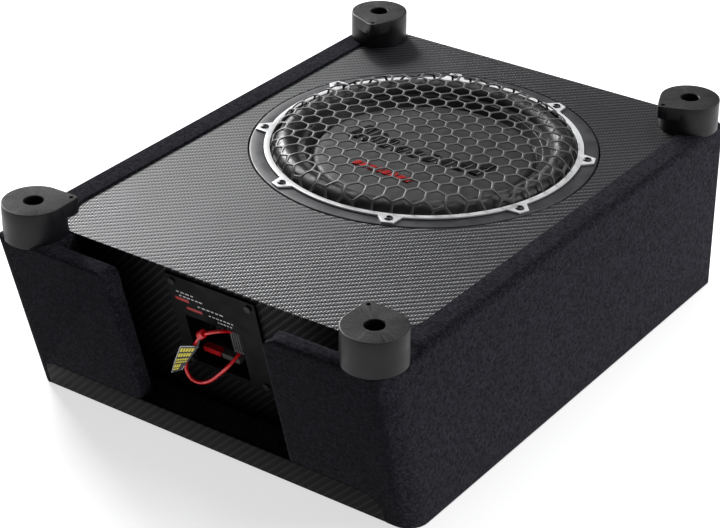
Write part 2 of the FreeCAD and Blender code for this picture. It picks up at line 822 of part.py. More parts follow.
def make_grille_ring():
    """Flat ring with eight trapezoidal ears, one for each screw, and a collar inside the trim."""
    body = new_body("grille_ring_body")
    outline = circle(new_sketch(body, "XY_Plane", "trim_top + joint_gap"), "0", "0", "ring_outer")
    circle(outline, "0", "0", "ring_inner")
    pad(body, outline, "ring_top - trim_top - joint_gap")
    collar = new_sketch(body, "XY_Plane", f"{FRAME_TOP} + joint_gap")
    circle(collar, "0", "0", "trim_inner - joint_gap")
    circle(collar, "0", "0", "trim_inner - 2.4")
    pad(body, collar, f"trim_top - {FRAME_TOP}")
    ear = [
        ("ring_outer - 1.5", "-10.5"),
        ("ring_outer + 3", "-9.5"),
        ("ear_reach", "-5"),
        ("ear_reach", "5"),
        ("ring_outer + 3", "9.5"),
        ("ring_outer - 1.5", "10.5"),
    ]
    turn = ("cos(first_screw)", "sin(first_screw)")
    corners = [
        (f"({out}) * {turn[0]} - ({side}) * {turn[1]}", f"({out}) * {turn[1]} + ({side}) * {turn[0]}")
        for out, side in ear
    ]
    plate = polygon(new_sketch(body, "XY_Plane", "trim_top + joint_gap"), corners)
    lug = pad(body, plate, "ring_top - trim_top - joint_gap")
    spot = [f"screw_circle * {part}" for part in turn]
    hole = circle(new_sketch(body, "XY_Plane", "ring_top"), *spot, "screw_clear")
    opening = pocket(body, hole, "2 * frame_thick")
    repeat_round(body, [lug, opening], "screw_count")
    piece(move(body, "0", "driver_place", "0"), "grille_ring")


def make_grille():
    """Domed screen: a steep rounded rim under the ring's inner edge, then a slightly crowned top."""
    rim = "(ring_inner + 3.5)"
    corners = [
        (rim, f"{FRAME_TOP} + joint_gap"),
        (rim, f"{FRAME_TOP} + joint_gap + dome_thick"),
        ("ring_inner - 0.3", f"{FRAME_TOP} + joint_gap + dome_thick"),
        ("ring_inner - 0.8", "ring_top"),
        ("ring_inner - 2.4", "ring_top + 5"),
        ("ring_inner - 6.5", "ring_top + 9"),
        ("ring_inner - 12", "ring_top + 11.2"),
        ("dome_shoulder", "dome_top - 1.9"),
        ("dome_shoulder / 2", "dome_top - 0.4"),
        ("0", "dome_top"),
        ("0", "dome_top - dome_thick"),
        ("dome_shoulder / 2", "dome_top - 0.4 - dome_thick"),
        ("dome_shoulder", "dome_top - 1.9 - dome_thick"),
        ("ring_inner - 12.4", "ring_top + 11.2 - dome_thick"),
        ("ring_inner - 7.4", "ring_top + 9 - dome_thick"),
        ("ring_inner - 3.8", "ring_top + 4.6"),
        ("ring_inner - 2.2", "ring_top"),
        ("ring_inner - 1.7", f"{FRAME_TOP} + joint_gap"),
    ]
    turned("grille_mesh", corners)


def make_driver_screws():
    screws = []
    for step in range(int(size("screw_count"))):
        angle = f"(first_screw + {step} * 360 / screw_count)"
        across = f"screw_circle * cos{angle}"
        along = f"driver_place + screw_circle * sin{angle}"
        head = move(rod("screw_head", "1.6"), across, along, "ring_top")
        low = "(deck_top - board + 2)"
        shank = move(rod("screw_radius - joint_gap / 2", f"ring_top - {low}"), across, along, low)
        socket = move(rod("screw_radius * 0.7", "2"), across, along, "ring_top + 0.5")
        screws.append(cut(fuse([head, shank]), socket))
    piece(group(screws), "driver_screws")


def make_surround():
    """Half-round rubber roll with a flat lip on each side."""
    level = f"({FRAME_TOP} + joint_gap)"
    halves = []
    for radius in ("roll_radius", "roll_radius - roll_thick"):
        torus = bind(DOC.addObject("Part::Torus", "roll"), Radius1="roll_middle", Radius2=radius)
        halves.append(move(torus, "0", "driver_place", level))
    below = rod("2 * roll_middle", "4 * roll_radius")
    move(below, "0", "driver_place", f"{level} - 4 * roll_radius")
    roll = cut(cut(*halves), below)
    lips = []
    for small, large in (
        ("roll_middle + roll_radius - roll_thick", "ring_inner - 2.4"),
        ("cone_edge - 4", "roll_middle - roll_radius + roll_thick"),
    ):
        disc = move(rod(large, "roll_thick"), "0", "driver_place", level)
        hole = move(rod(small, "3 * roll_thick"), "0", "driver_place", f"{level} - roll_thick")
        lips.append(cut(disc, hole))
    piece(fuse([roll, *lips]), "surround")


def make_moving_parts():
    """Cone with a flat lip and a steep rim, and the wide flat cap that covers all inside the rim."""
    turned(
        "cone",
        [
            ("cone_edge", f"{FRAME_TOP} - cone_thick"),
            ("cone_edge", FRAME_TOP),
            ("cone_edge - 6", FRAME_TOP),
            ("knee_radius", "knee_level"),
            ("cone_neck", "neck_level + 1"),
            ("cone_neck", "neck_level - cone_thick"),
            ("knee_radius + 0.7", "knee_level - 1.2 * cone_thick"),
            ("cone_edge - 5", f"{FRAME_TOP} - cone_thick"),
        ],
    )
    turned(
        "dust_cap",
        [
            ("cap_radius - 2", "knee_level + joint_gap"),
            ("cap_radius", "knee_level + joint_gap"),
            ("cap_radius", "knee_level + 1.5"),
            ("cap_radius - 2.4", "cap_top - 3.1"),
            ("cap_radius - 7", "cap_top - 1.5"),
            ("cap_radius * 0.6", "cap_top - 0.6"),
            ("0", "cap_top"),
            ("0", "cap_top - 1.4"),
            ("cap_radius * 0.6", "cap_top - 2"),
            ("cap_radius - 7.4", "cap_top - 2.9"),
            ("cap_radius - 3.8", "cap_top - 4.3"),
        ],
    )
    ring("voice_coil_former", "former_radius - 0.4", "former_radius", "former_foot", "neck_level + 0.9")
    ring("voice_coil", "former_radius", "former_radius + coil_thick", "coil_low", "coil_high")


def make_spider():
    """Corrugated centring disc between the former and the frame's shelf."""
    half_waves = 10
    start = "(former_radius + 0.2)"
    pitch = f"((spider_outer - 4 - {start}) / {half_waves})"
    path = [(start, "spider_level")]
    for step in range(1, half_waves):
        rise = "1.6" if step % 2 else "(-1.6)"
        path.append((f"{start} + {step} * {pitch}", f"spider_level + {rise}"))
    path.append(("spider_outer - 4", "spider_level"))
    path.append(("spider_outer + 4", "spider_level"))
    lower = [(radius, f"{height} - 0.6") for radius, height in reversed(path)]
    turned("spider", path + lower)


def make_motor():
    ring("top_plate", "gap_outer", "plate_radius", "plate_low", "plate_high")
    ring("magnet", "magnet_bore", "magnet_radius", "magnet_low", "plate_low")
    turned(
        "back_plate",
        [
            ("vent_radius", "yoke_low"),
            ("plate_radius", "yoke_low"),
            ("plate_radius", "magnet_low"),
            ("pole_radius", "magnet_low"),
            ("pole_radius", "plate_high"),
            ("vent_radius", "plate_high"),
        ],
    )


def make_terminals():
    """Insulating strip with two push terminals on the front of the frame."""
    strip = move(box("40", "3", "9.8"), "-20", "driver_place - 110", "126.5")
    posts = []
    sideways = FreeCAD.Rotation(FreeCAD.Vector(1, 0, 0), 90)
    for side in (-1, 1):
        posts.append(move(rod("2.5", "8"), f"{side} * 12", "driver_place - 110", "133", sideways))
    piece(fuse([strip, *posts]), "terminal_strip")


# ---- amplifier -------------------------------------------------------------------------------

FLOOR_FRONT = "(-pocket_deep)"


def make_amp_plate():
    """Control plate with a deep pocket that holds the sockets, fuses and controls."""
    body = new_body("amp_plate_body")
    plate = [
        ("-plate_half_width", "-plate_half_height"),
        ("plate_half_width", "-plate_half_height"),
        ("plate_half_width", "plate_half_height"),
        ("-plate_half_width", "plate_half_height"),
    ]
    pad(body, polygon(new_sketch(body, "XY_Plane"), plate), "plate_thick")
    tub = [
        ("pocket_left - shell", "pocket_low - shell"),
        ("pocket_right + shell", "pocket_low - shell"),
        ("pocket_right + shell", "pocket_high + shell"),
        ("pocket_left - shell", "pocket_high + shell"),
    ]
    depth = "(pocket_deep + shell)"
    pad(body, polygon(new_sketch(body, "XY_Plane", f"-{depth}"), tub), depth)
    mouth = [
        ("pocket_left", "pocket_low"),
        ("pocket_right", "pocket_low"),
        ("pocket_right", "pocket_high"),
        ("pocket_left", "pocket_high"),
    ]
    pocket(body, polygon(new_sketch(body, "XY_Plane", "plate_thick"), mouth), "pocket_deep + plate_thick")
    holes = new_sketch(body, "XY_Plane", "plate_thick")
    for side in (-1, 1):
        for end in (-1, 1):
            circle(holes, f"{side} * amp_screw_across", f"{end} * amp_screw_up", "screw_clear - 0.6")
    pocket(body, holes, "2 * plate_thick")
    bores = new_sketch(body, "XY_Plane", FLOOR_FRONT)
    for across in KNOBS.values():
        circle(bores, across, "knob_row", "spindle_bore")
    pocket(body, bores, "2 * shell")
    slot = [("-9", "-18"), ("-1", "-18"), ("-1", "-14"), ("-9", "-14")]
    pocket(body, polygon(new_sketch(body, "XY_Plane", FLOOR_FRONT), slot), "2 * shell")
    piece(move_on_wall(body), "amp_plate")


def make_knobs():
    """Three small rotary controls, each on a spindle through the pocket's floor."""
    for label, across in KNOBS.items():
        foot = f"({FLOOR_FRONT} + 0.3)"
        grip = move_on_wall(rod("knob_radius", "knob_length"), across, "knob_row", foot)
        spindle = rod("spindle_radius", "pocket_deep / 3")
        move_on_wall(spindle, across, "knob_row", f"{foot} - 6.3")
        slot = move_on_wall(
            box("1", "1.6 * knob_radius", "2"),
            f"{across} - 0.5",
            "knob_row - 0.8 * knob_radius + 1",
            f"{foot} + knob_length - 1.5",
        )
        piece(cut(fuse([grip, spindle]), slot), label)


def make_switch():
    """Two-way phase switch: a ridged slider that travels in a slot in the pocket's floor."""
    slider = move_on_wall(box("3.6", "3.6", "10"), "-8.9", "-17.8", f"{FLOOR_FRONT} - 5")
    flange = move_on_wall(box("3.6", "7", "1.4"), "-8.9", "-19.5", f"{FLOOR_FRONT} - 4.2")
    piece(fuse([slider, flange]), "phase_switch")


def make_sockets():
    jacks = []
    for across in ("-28", "-16"):
        barrel = move_on_wall(rod("4.2", "10"), across, "-16", FLOOR_FRONT)
        bore = move_on_wall(rod("1.7", "12"), across, "-16", f"{FLOOR_FRONT} + 2")
        jacks.append(cut(barrel, bore))
    piece(group(jacks), "rca_sockets")
    half_wide = "(plug_wide / 2 + 1.5)"
    half_tall = "(plug_tall / 2 + 1.5)"
    shroud = move_on_wall(
        box(f"2 * {half_wide}", f"2 * {half_tall}", f"socket_front - {FLOOR_FRONT}"),
        f"plug_across - {half_wide}",
        f"plug_up - {half_tall}",
        FLOOR_FRONT,
    )
    well = move_on_wall(
        box("plug_wide + 0.4", "plug_tall + 0.4", "20"),
        "plug_across - plug_wide / 2 - 0.2",
        "plug_up - plug_tall / 2 - 0.2",
        f"{FLOOR_FRONT} + 2",
    )
    piece(cut(shroud, well), "plug_socket")


def make_plug():
    """Harness plug: a ribbed housing that pulls straight out of its socket."""
    housing = move_on_wall(
        box("plug_wide", "plug_tall", f"plug_front - {FLOOR_FRONT} - 2.5"),
        "plug_across - plug_wide / 2",
        "plug_up - plug_tall / 2",
        f"{FLOOR_FRONT} + 2.5",
    )
    grooves = []
    for step in range(5):
        grooves.append(
            move_on_wall(
                box("0.9", "plug_tall - 6", "2"),
                f"plug_across - 5.2 + {step} * 2.4",
                "plug_up - plug_tall / 2 + 3",
                "plug_front - 1",
            )
        )
    piece(cut(housing, fuse(grooves)), "harness_plug")


def make_fuses():
    holders = []
    for label, across in (("red_fuse", "-23.5"), ("clear_fuse", "-3.5")):
        body = move_on_wall(
            box("fuse_wide", "fuse_tall", "fuse_front - holder_front"),
            f"{across} - fuse_wide / 2",
            "fuse_up - fuse_tall / 2",
            "holder_front",
        )
        blades = []
        slots = []
        for shift in (-6.5, 6.5):
            spot = f"({across} + {shift})"
            blade = box("4", "0.8", "7")
            blades.append(move_on_wall(blade, f"{spot} - 2", "fuse_up - 0.4", "holder_front - 7"))
            slot = box("4.2", "1", "9")
            slots.append(move_on_wall(slot, f"{spot} - 2.1", "fuse_up - 0.5", "holder_front - 8"))
        piece(fuse([body, *blades]), label)
        block = move_on_wall(
            box("fuse_wide", "fuse_tall + 1", f"holder_front - 0.1 - {FLOOR_FRONT}"),
            f"{across} - fuse_wide / 2",
            "fuse_up - fuse_tall / 2 - 0.5",
            FLOOR_FRONT,
        )
        holders.append(cut(block, fuse(slots)))
    piece(group(holders), "fuse_holders")


def make_amp_screws():
    screws = []
    for side in (-1, 1):
        for end in (-1, 1):
            spot = (f"{side} * amp_screw_across", f"{end} * amp_screw_up")
            head = move_on_wall(rod("3.2", "1.6"), *spot, "plate_thick")
            shank = move_on_wall(rod("1.6", "plate_thick"), *spot, "0")
            screws.append(fuse([head, shank]))
    piece(group(screws), "amp_screws")


def make_amplifier():
    """Inside the box: a finned heatsink behind the pocket, with the circuit board on its face."""
    behind = f"({FLOOR_FRONT} - shell)"
    board = move_on_wall(box("130", "84", "1.6"), "-65", "-66", f"{behind} - 12")
    piece(board, "amp_board")
    plate = move_on_wall(box("150", "80", "4"), "-75", "-80", f"{behind} - 50")
    ribs = []
    for step in range(12):
        ribs.append(move_on_wall(box("2.4", "80", "10"), f"-75 + {step} * 13.4", "-80", f"{behind} - 60"))
    for across in ("-75", "69"):
        ribs.append(move_on_wall(box("6", "80", "34"), across, "-80", f"{behind} - 46"))
    piece(fuse([plate, *ribs]), "amp_heatsink")
    torus = bind(DOC.addObject("Part::Torus", "winding"), Radius1="13", Radius2="7")
    piece(move_on_wall(torus, "-38", "-22", f"{behind} - 30"), "toroid")
    cans = [move_on_wall(rod("7", "24"), across, "-10", f"{behind} - 36.1") for across in ("2", "20", "38")]
    piece(group(cans), "capacitors")
    chips = [
        move_on_wall(box("14", "18", "4.5"), f"{across} - 7", "-70", f"{behind} - 46")
        for across in (-50, -30, -10, 10, 30, 50)
    ]
    piece(group(chips), "transistors")


# ---- cords -----------------------------------------------------------------------------------


def rounded_path(points):
    """Return straight runs joined by tangent arcs, as large as the runs allow, and the arcs' radii."""
    spots = [FreeCAD.Vector(*point) for point in points]
    edges = []
    radii = []
    last = spots[0]
    for before, corner, after in zip(spots, spots[1:], spots[2:]):
        inward = (corner - before).normalize()
        onward = (after - corner).normalize()
        half = inward.getAngle(onward) / 2
        reach = 0.45 * min(before.distanceToPoint(corner), corner.distanceToPoint(after))
        radius = reach / math.tan(half)
        start = corner - inward * reach
        finish = corner + onward * reach
        to_middle = (onward - inward).normalize()
        middle = corner + to_middle * (radius / math.cos(half) - radius)
        edges.append(Part.LineSegment(last, start).toShape())
        edges.append(Part.Arc(start, middle, finish).toShape())
        radii.append(radius)
        last = finish
    edges.append(Part.LineSegment(last, spots[-1]).toShape())
    return Part.Wire(edges), radii


def tube(points, radius):
    """Return a solid tube along a route, checked against its section times its length."""
    path, radii = rounded_path(points)
    heading = FreeCAD.Vector(*points[1]) - FreeCAD.Vector(*points[0])
    section = Part.Wire(Part.Circle(FreeCAD.Vector(*points[0]), heading, radius).toShape())
    solid = path.makePipeShell([section], True, True)
    expected = math.pi * radius**2 * path.Length
    fill = solid.Volume / expected
    print(f"cord length {path.Length:.1f}, smallest bend {min(radii):.1f}, fill {fill:.4f}")
    if abs(fill - 1) > 0.02:
        raise RuntimeError("a tube's volume doesn't match its length")
    return solid


def shaped(label, shape):
    """Add a piece whose shape is made directly, for forms that no sketch or primitive fits."""
    result = DOC.addObject("Part::Feature", label)
    result.Shape = shape
    result.Placement = FreeCAD.Placement()
    return piece(result, label)


def make_cords():
    shaped("pull_loop", tube(LOOP_ROUTE, size("cord_radius")))
    leads = []
    for side in (-1, 1):
        route = [(side * across, along, up) for across, along, up in LEAD_ROUTE]
        leads.append(tube(route, size("lead_radius")))
    shaped("speaker_leads", Part.makeCompound(leads))


def make_tag():
    """Card tag that leans against the loop, its short tie, and the crimp that holds both."""
    sideways = FreeCAD.Rotation(FreeCAD.Vector(0, 1, 0), 27)
    forwards = FreeCAD.Rotation(FreeCAD.Vector(1, 0, 0), 8)
    card = move(box("20", "0.8", "38"), *TAG_CORNER, sideways * forwards)
    tie = move(box("1.6", "0.8", "19"), "-14", "-234.2", "94")
    piece(fuse([card, tie]), "pull_tag")
    crimp = bind(DOC.addObject("Part::Sphere", "crimp"), Radius="3.2")
    piece(move(crimp, *CRIMP_PLACE), "pull_crimp")


def check_document():
    """Stop if any object failed to compute or any piece has no sound shape."""
    failed = [item.Label for item in DOC.Objects if {"Invalid", "Error"} & set(item.State)]
    if failed:
        raise RuntimeError("failed objects: " + ", ".join(failed))
    for item in PIECES:
        if item.Shape.isNull() or not item.Shape.isValid() or not item.Shape.Solids:
            raise RuntimeError("unsound shape: " + item.Label)


def write_pieces():
    os.makedirs("parts", exist_ok=True)
    for item in PIECES:
        item.Shape.exportStep(f"parts/{item.Label}.step")
        print(f"{item.Label}: {len(item.Shape.Solids)} solid(s), {item.Shape.Volume / 1000:.1f} cm3")


def main():
    fill_sheet()
    make_base_board()
    make_deck_board()
    make_rear_board()
    make_wall_board()
    make_cheek_board()
    make_pillar()
    make_carpet()
    make_floor_carpet()
    make_sill()
    make_deck_vinyl()
    make_wall_vinyl()
    make_rear_vinyl()
    make_base_vinyl()
    make_feet()
    make_gasket()
    make_basket()
    make_trim_ring()
    make_grille_ring()
    make_grille()
    make_driver_screws()
    make_surround()
    make_moving_parts()
    make_spider()
    make_motor()
    make_terminals()
    make_amp_plate()
    make_knobs()
    make_switch()
    make_sockets()
    make_plug()
    make_fuses()
    make_amp_screws()
    make_amplifier()
    make_cords()
    make_tag()
    DOC.recompute()
    check_document()
    write_pieces()


main()
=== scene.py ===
import math

import bmesh
import bpy
from mathutils import Matrix, Quaternion, Vector


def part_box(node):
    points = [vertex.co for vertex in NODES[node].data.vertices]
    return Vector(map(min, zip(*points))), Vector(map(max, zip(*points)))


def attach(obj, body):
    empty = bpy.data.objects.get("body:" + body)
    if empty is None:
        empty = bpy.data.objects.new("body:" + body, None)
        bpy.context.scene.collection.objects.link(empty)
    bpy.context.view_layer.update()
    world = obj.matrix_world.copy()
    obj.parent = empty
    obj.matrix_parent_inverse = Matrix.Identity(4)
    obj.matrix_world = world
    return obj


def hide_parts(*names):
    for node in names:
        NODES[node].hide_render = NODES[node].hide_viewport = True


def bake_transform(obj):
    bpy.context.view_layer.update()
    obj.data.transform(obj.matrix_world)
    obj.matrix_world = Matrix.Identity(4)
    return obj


# Powered car subwoofer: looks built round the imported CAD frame. Metres, +Z up out of the driver,
# -Y towards the amplifier recess, X across.

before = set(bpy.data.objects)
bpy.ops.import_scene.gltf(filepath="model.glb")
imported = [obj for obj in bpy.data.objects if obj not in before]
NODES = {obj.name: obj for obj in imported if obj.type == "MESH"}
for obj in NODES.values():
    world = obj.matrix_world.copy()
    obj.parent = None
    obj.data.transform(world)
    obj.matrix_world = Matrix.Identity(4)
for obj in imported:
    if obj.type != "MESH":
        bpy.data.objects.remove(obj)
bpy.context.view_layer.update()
MM = 0.001

# ---- places read from the frame --------------------------------------------------------------

TRIM_LOW, TRIM_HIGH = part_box("trim_ring")
CARPET_LOW, CARPET_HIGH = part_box("right_carpet")
DRIVER = Vector((0, (TRIM_LOW.y + TRIM_HIGH.y) / 2, 0))
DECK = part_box("baffle_vinyl")[1].z
TRIM_TOP = TRIM_HIGH.z
RING_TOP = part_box("grille_ring")[1].z
DOME_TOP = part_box("grille_mesh")[1].z
FRAME_TOP = TRIM_LOW.z
WIDE = CARPET_HIGH.x
DEEP = CARPET_HIGH.y
CARPET_TOP = CARPET_HIGH.z
LEAN = math.radians(14.85)
CARPET = 3 * MM
PILLAR_TOP = CARPET_TOP - CARPET
PILLAR_IN = CARPET_LOW.x
FOOT_X, FOOT_Y = 172.5 * MM, 248.75 * MM
WALL_FRONT = -233.5 * MM
WALL_MIDDLE = 113.5 * MM


def front(height):
    """Return where the leaning front lies at a height."""
    return -DEEP + (PILLAR_TOP - height) * math.tan(LEAN)


def wall(height):
    """Return where the wall's vinyl lies at a height."""
    return WALL_FRONT + (PILLAR_TOP - height) * math.tan(LEAN)


# The amplifier wall's own frame: X across, Y up the slope, Z out of the wall.
UPRIGHT = Matrix.Rotation(math.radians(90) + LEAN, 4, "X")
WALL = Matrix.Translation((0, wall(WALL_MIDDLE), WALL_MIDDLE)) @ UPRIGHT


# ---- camera ----------------------------------------------------------------------------------


def make_camera():
    """Stand where the object's right front corner is nearest and its deck is seen from above."""
    azimuth = math.radians(34.95)
    elevation = math.radians(29.2)
    roll = math.radians(0.365)
    distance = 1.8063
    target = Vector((0.09145, -0.13036, DECK))
    data = bpy.data.cameras.new("camera")
    data.lens = 111.31
    data.sensor_width = 36.0
    data.shift_x = -0.0235
    data.clip_start = 0.05
    data.clip_end = 50.0
    back = Vector(
        (
            math.sin(azimuth) * math.cos(elevation),
            -math.cos(azimuth) * math.cos(elevation),
            math.sin(elevation),
        )
    )
    camera = add_object("camera", data)
    camera.location = target + back * distance
    camera.rotation_mode = "QUATERNION"
    camera.rotation_quaternion = Quaternion(back, roll) @ (-back).to_track_quat("-Z", "Y")
    bpy.context.scene.camera = camera


# ---- building blocks -------------------------------------------------------------------------


def add_object(name, data):
    """Put a mesh, curve, light or camera in the scene."""
    item = bpy.data.objects.new(name, data)
    bpy.context.scene.collection.objects.link(item)
    return item


def add_piece(name, mesh, body, finish, crease=35.0, node=None):
    """Put a finished mesh in the scene, on a body. It may take the place of a CAD node."""
    for face in mesh.polygons:
        face.use_smooth = True
    mesh.set_sharp_from_angle(angle=math.radians(crease))
    mesh.materials.clear()
    mesh.materials.append(FINISH[finish])
    item = add_object(name, mesh)
    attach(item, body)
    if node:
        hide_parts(node)
    return item


def to_mesh(name, shape):
    """Turn a bmesh into a mesh with its faces pointing outwards."""
    bmesh.ops.recalc_face_normals(shape, faces=shape.faces)
    mesh = bpy.data.meshes.new(name)
    shape.to_mesh(mesh)
    shape.free()
    return mesh


def with_modifiers(mesh, modifiers):
    """Return a mesh with modifiers applied, given as pairs of a type and its settings."""
    item = add_object("worked", mesh)
    for kind, settings in modifiers:
        modifier = item.modifiers.new(kind, kind)
        for key, value in settings.items():
            setattr(modifier, key, value)
    graph = bpy.context.evaluated_depsgraph_get()
    result = bpy.data.meshes.new_from_object(item.evaluated_get(graph))
    bpy.data.objects.remove(item)
    return result


def turn(profile, steps=128, start=0.0, end=2 * math.pi, centre=DRIVER):
    """Turn a closed outline of (radius, height) pairs about a vertical axis."""
    whole = abs(end - start - 2 * math.pi) < 1e-6
    shape = bmesh.new()
    rings = []
    for step in range(steps if whole else steps + 1):
        angle = start + (end - start) * step / steps
        heading = Vector((math.cos(angle), math.sin(angle), 0))
        ring = [centre + heading * radius + Vector((0, 0, height)) for radius, height in profile]
        rings.append([shape.verts.new(point) for point in ring])
    count = len(profile)
    pairs = list(zip(rings, rings[1:] + rings[:1])) if whole else list(zip(rings, rings[1:]))
    for near, far in pairs:
        for index in range(count):
            after = (index + 1) % count
            shape.faces.new((near[index], near[after], far[after], far[index]))
    if not whole:
        shape.faces.new(rings[0])
        shape.faces.new(list(reversed(rings[-1])))
    bmesh.ops.remove_doubles(shape, verts=shape.verts, dist=1e-6)
    bmesh.ops.dissolve_degenerate(shape, edges=shape.edges, dist=1e-7)
    return shape


def arc(centre, radius, start, end, steps):
    """Return points along an arc, with angles in degrees."""
    angles = [math.radians(start + (end - start) * step / steps) for step in range(steps + 1)]
    return [(centre[0] + radius * math.cos(a), centre[1] + radius * math.sin(a)) for a in angles]


def round_corners(corners, radii, steps=5):
    """Return an outline with each corner replaced by an arc of its own radius."""
    result = []
    count = len(corners)
    for index in range(count):
        here = Vector(corners[index])
        before = (Vector(corners[index - 1]) - here).normalized()
        after = (Vector(corners[(index + 1) % count]) - here).normalized()
        radius = radii[index] if isinstance(radii, (list, tuple)) else radii
        if radius <= 0:
            result.append(tuple(here))
            continue
        half = before.angle(after) / 2
        reach = radius / math.tan(half)
        middle = here + (before + after).normalized() * (radius / math.sin(half))
        first = here + before * reach - middle
        last = here + after * reach - middle
        sweep = first.angle_signed(last)
        for step in range(steps + 1):
            result.append(tuple(middle + first @ Matrix.Rotation(sweep * step / steps, 2)))
    return result


def circle(radius, steps=48, centre=(0, 0)):
    return arc(centre, radius, 0, 360 * (steps - 1) / steps, steps - 1)


def area(loop):
    return sum(a[0] * b[1] - b[0] * a[1] for a, b in zip(loop, loop[1:] + loop[:1])) / 2


def plate(outline, holes, low, high, rim, place=Matrix.Identity(4)):
    """Return a flat plate with holes and rounded rims."""
    curve = bpy.data.curves.new("plate", "CURVE")
    curve.dimensions = "2D"
    curve.fill_mode = "BOTH"
    curve.extrude = (high - low) / 2 - rim
    curve.bevel_depth = rim
    curve.bevel_resolution = 2
    curve.offset = -rim
    for index, loop in enumerate([outline, *holes]):
        forward = area(loop) > 0
        points = loop if forward == (index == 0) else list(reversed(loop))
        spline = curve.splines.new("POLY")
        spline.points.add(len(points) - 1)
        for point, (across, up) in zip(spline.points, points):
            point.co = (across, up, 0, 1)
        spline.use_cyclic_u = True
    item = add_object("plate", curve)
    graph = bpy.context.evaluated_depsgraph_get()
    mesh = bpy.data.meshes.new_from_object(item.evaluated_get(graph))
    bpy.data.objects.remove(item)
    shape = bmesh.new()
    shape.from_mesh(mesh)
    bmesh.ops.remove_doubles(shape, verts=shape.verts, dist=1e-6)
    bmesh.ops.transform(shape, matrix=place @ Matrix.Translation((0, 0, (low + high) / 2)), verts=shape.verts)
    return shape


def join(shapes):
    """Return several bmeshes as one."""
    whole = bmesh.new()
    for shape in shapes:
        mesh = bpy.data.meshes.new("part")
        shape.to_mesh(mesh)
        shape.free()
        whole.from_mesh(mesh)
        bpy.data.meshes.remove(mesh)
    return whole


def block(length, width, height, place, rim=0.3 * MM):
    """Return a block with rounded edges, centred on its place."""
    shape = bmesh.new()
    bmesh.ops.create_cube(shape, size=1)
    bmesh.ops.scale(shape, vec=(length, width, height), verts=shape.verts)
    bmesh.ops.bevel(shape, geom=shape.edges, offset=rim, segments=2, profile=0.5, affect="EDGES")
    bmesh.ops.transform(shape, matrix=place, verts=shape.verts)
    return shape


# ---- materials -------------------------------------------------------------------------------


class Recipe:
    """A material and short ways to add nodes to it."""

    def __init__(self, name, **surface):
        self.material = bpy.data.materials.new(name)
        self.material.use_nodes = True
        self.tree = self.material.node_tree
        self.shader = self.tree.nodes["Principled BSDF"]
        self.set(**surface)

    def set(self, **values):
        for key, value in values.items():
            socket = self.shader.inputs[key.replace("_", " ")]
            if isinstance(value, bpy.types.NodeSocket):
                self.tree.links.new(value, socket)
            else:
                socket.default_value = value

    def node(self, kind, out=0, setup=None, **inputs):
        made = self.tree.nodes.new(kind)
        for key, value in (setup or {}).items():
            setattr(made, key, value)
        for key, value in inputs.items():
            name = key.replace("_", " ")
            socket = made.inputs[int(key[1:])] if key[1:].isdigit() else made.inputs[name]
            if isinstance(value, bpy.types.NodeSocket):
                self.tree.links.new(value, socket)
            else:
                socket.default_value = value
        return made.outputs[out]

    def math(self, operation, first, second=0.0, third=0.0):
        return self.node("ShaderNodeMath", setup={"operation": operation}, i0=first, i1=second, i2=third)

    def plus(self, first, second):
        return self.math("ADD", first, second)

    def minus(self, first, second):
        return self.math("SUBTRACT", first, second)

    def times(self, first, second):
        return self.math("MULTIPLY", first, second)

    def place(self, scale=(1, 1, 1), turned=0.0):
        """Return object coordinates, scaled, which are the frame's own metres."""
        coordinates = self.tree.nodes.new("ShaderNodeTexCoord").outputs["Object"]
        return self.node("ShaderNodeMapping", Vector=coordinates, Scale=scale, Rotation=(0, 0, turned))

    def noise(self, size, scale=(1, 1, 1), detail=3.0, roughness=0.55):
        """Return noise with features of about a given size in metres."""
        return self.node(
            "ShaderNodeTexNoise", Vector=self.place(scale), Scale=1 / size, Detail=detail, Roughness=roughness
        )

    def ramp(self, value, low, high, first, second):
        """Return a value mapped smoothly from one range to another."""
        return self.node(
            "ShaderNodeMapRange",
            setup={"interpolation_type": "SMOOTHSTEP"},
            Value=value,
            From_Min=low,
            From_Max=high,
            To_Min=first,
            To_Max=second,
        )

    def mix(self, factor, first, second):
        return self.node(
            "ShaderNodeMix", out=2, setup={"data_type": "RGBA"},
            Factor=factor, i6=(*first, 1), i7=(*second, 1),
        )

    def blend(self, factor, first, second):
        """Lay a plain colour over a colour that is already mixed."""
        return self.node(
            "ShaderNodeMix", out=2, setup={"data_type": "RGBA"}, Factor=factor, i6=first, i7=(*second, 1)
        )

    def bump(self, height, distance, strength=1.0):
        self.set(Normal=self.node("ShaderNodeBump", Height=height, Distance=distance, Strength=strength))


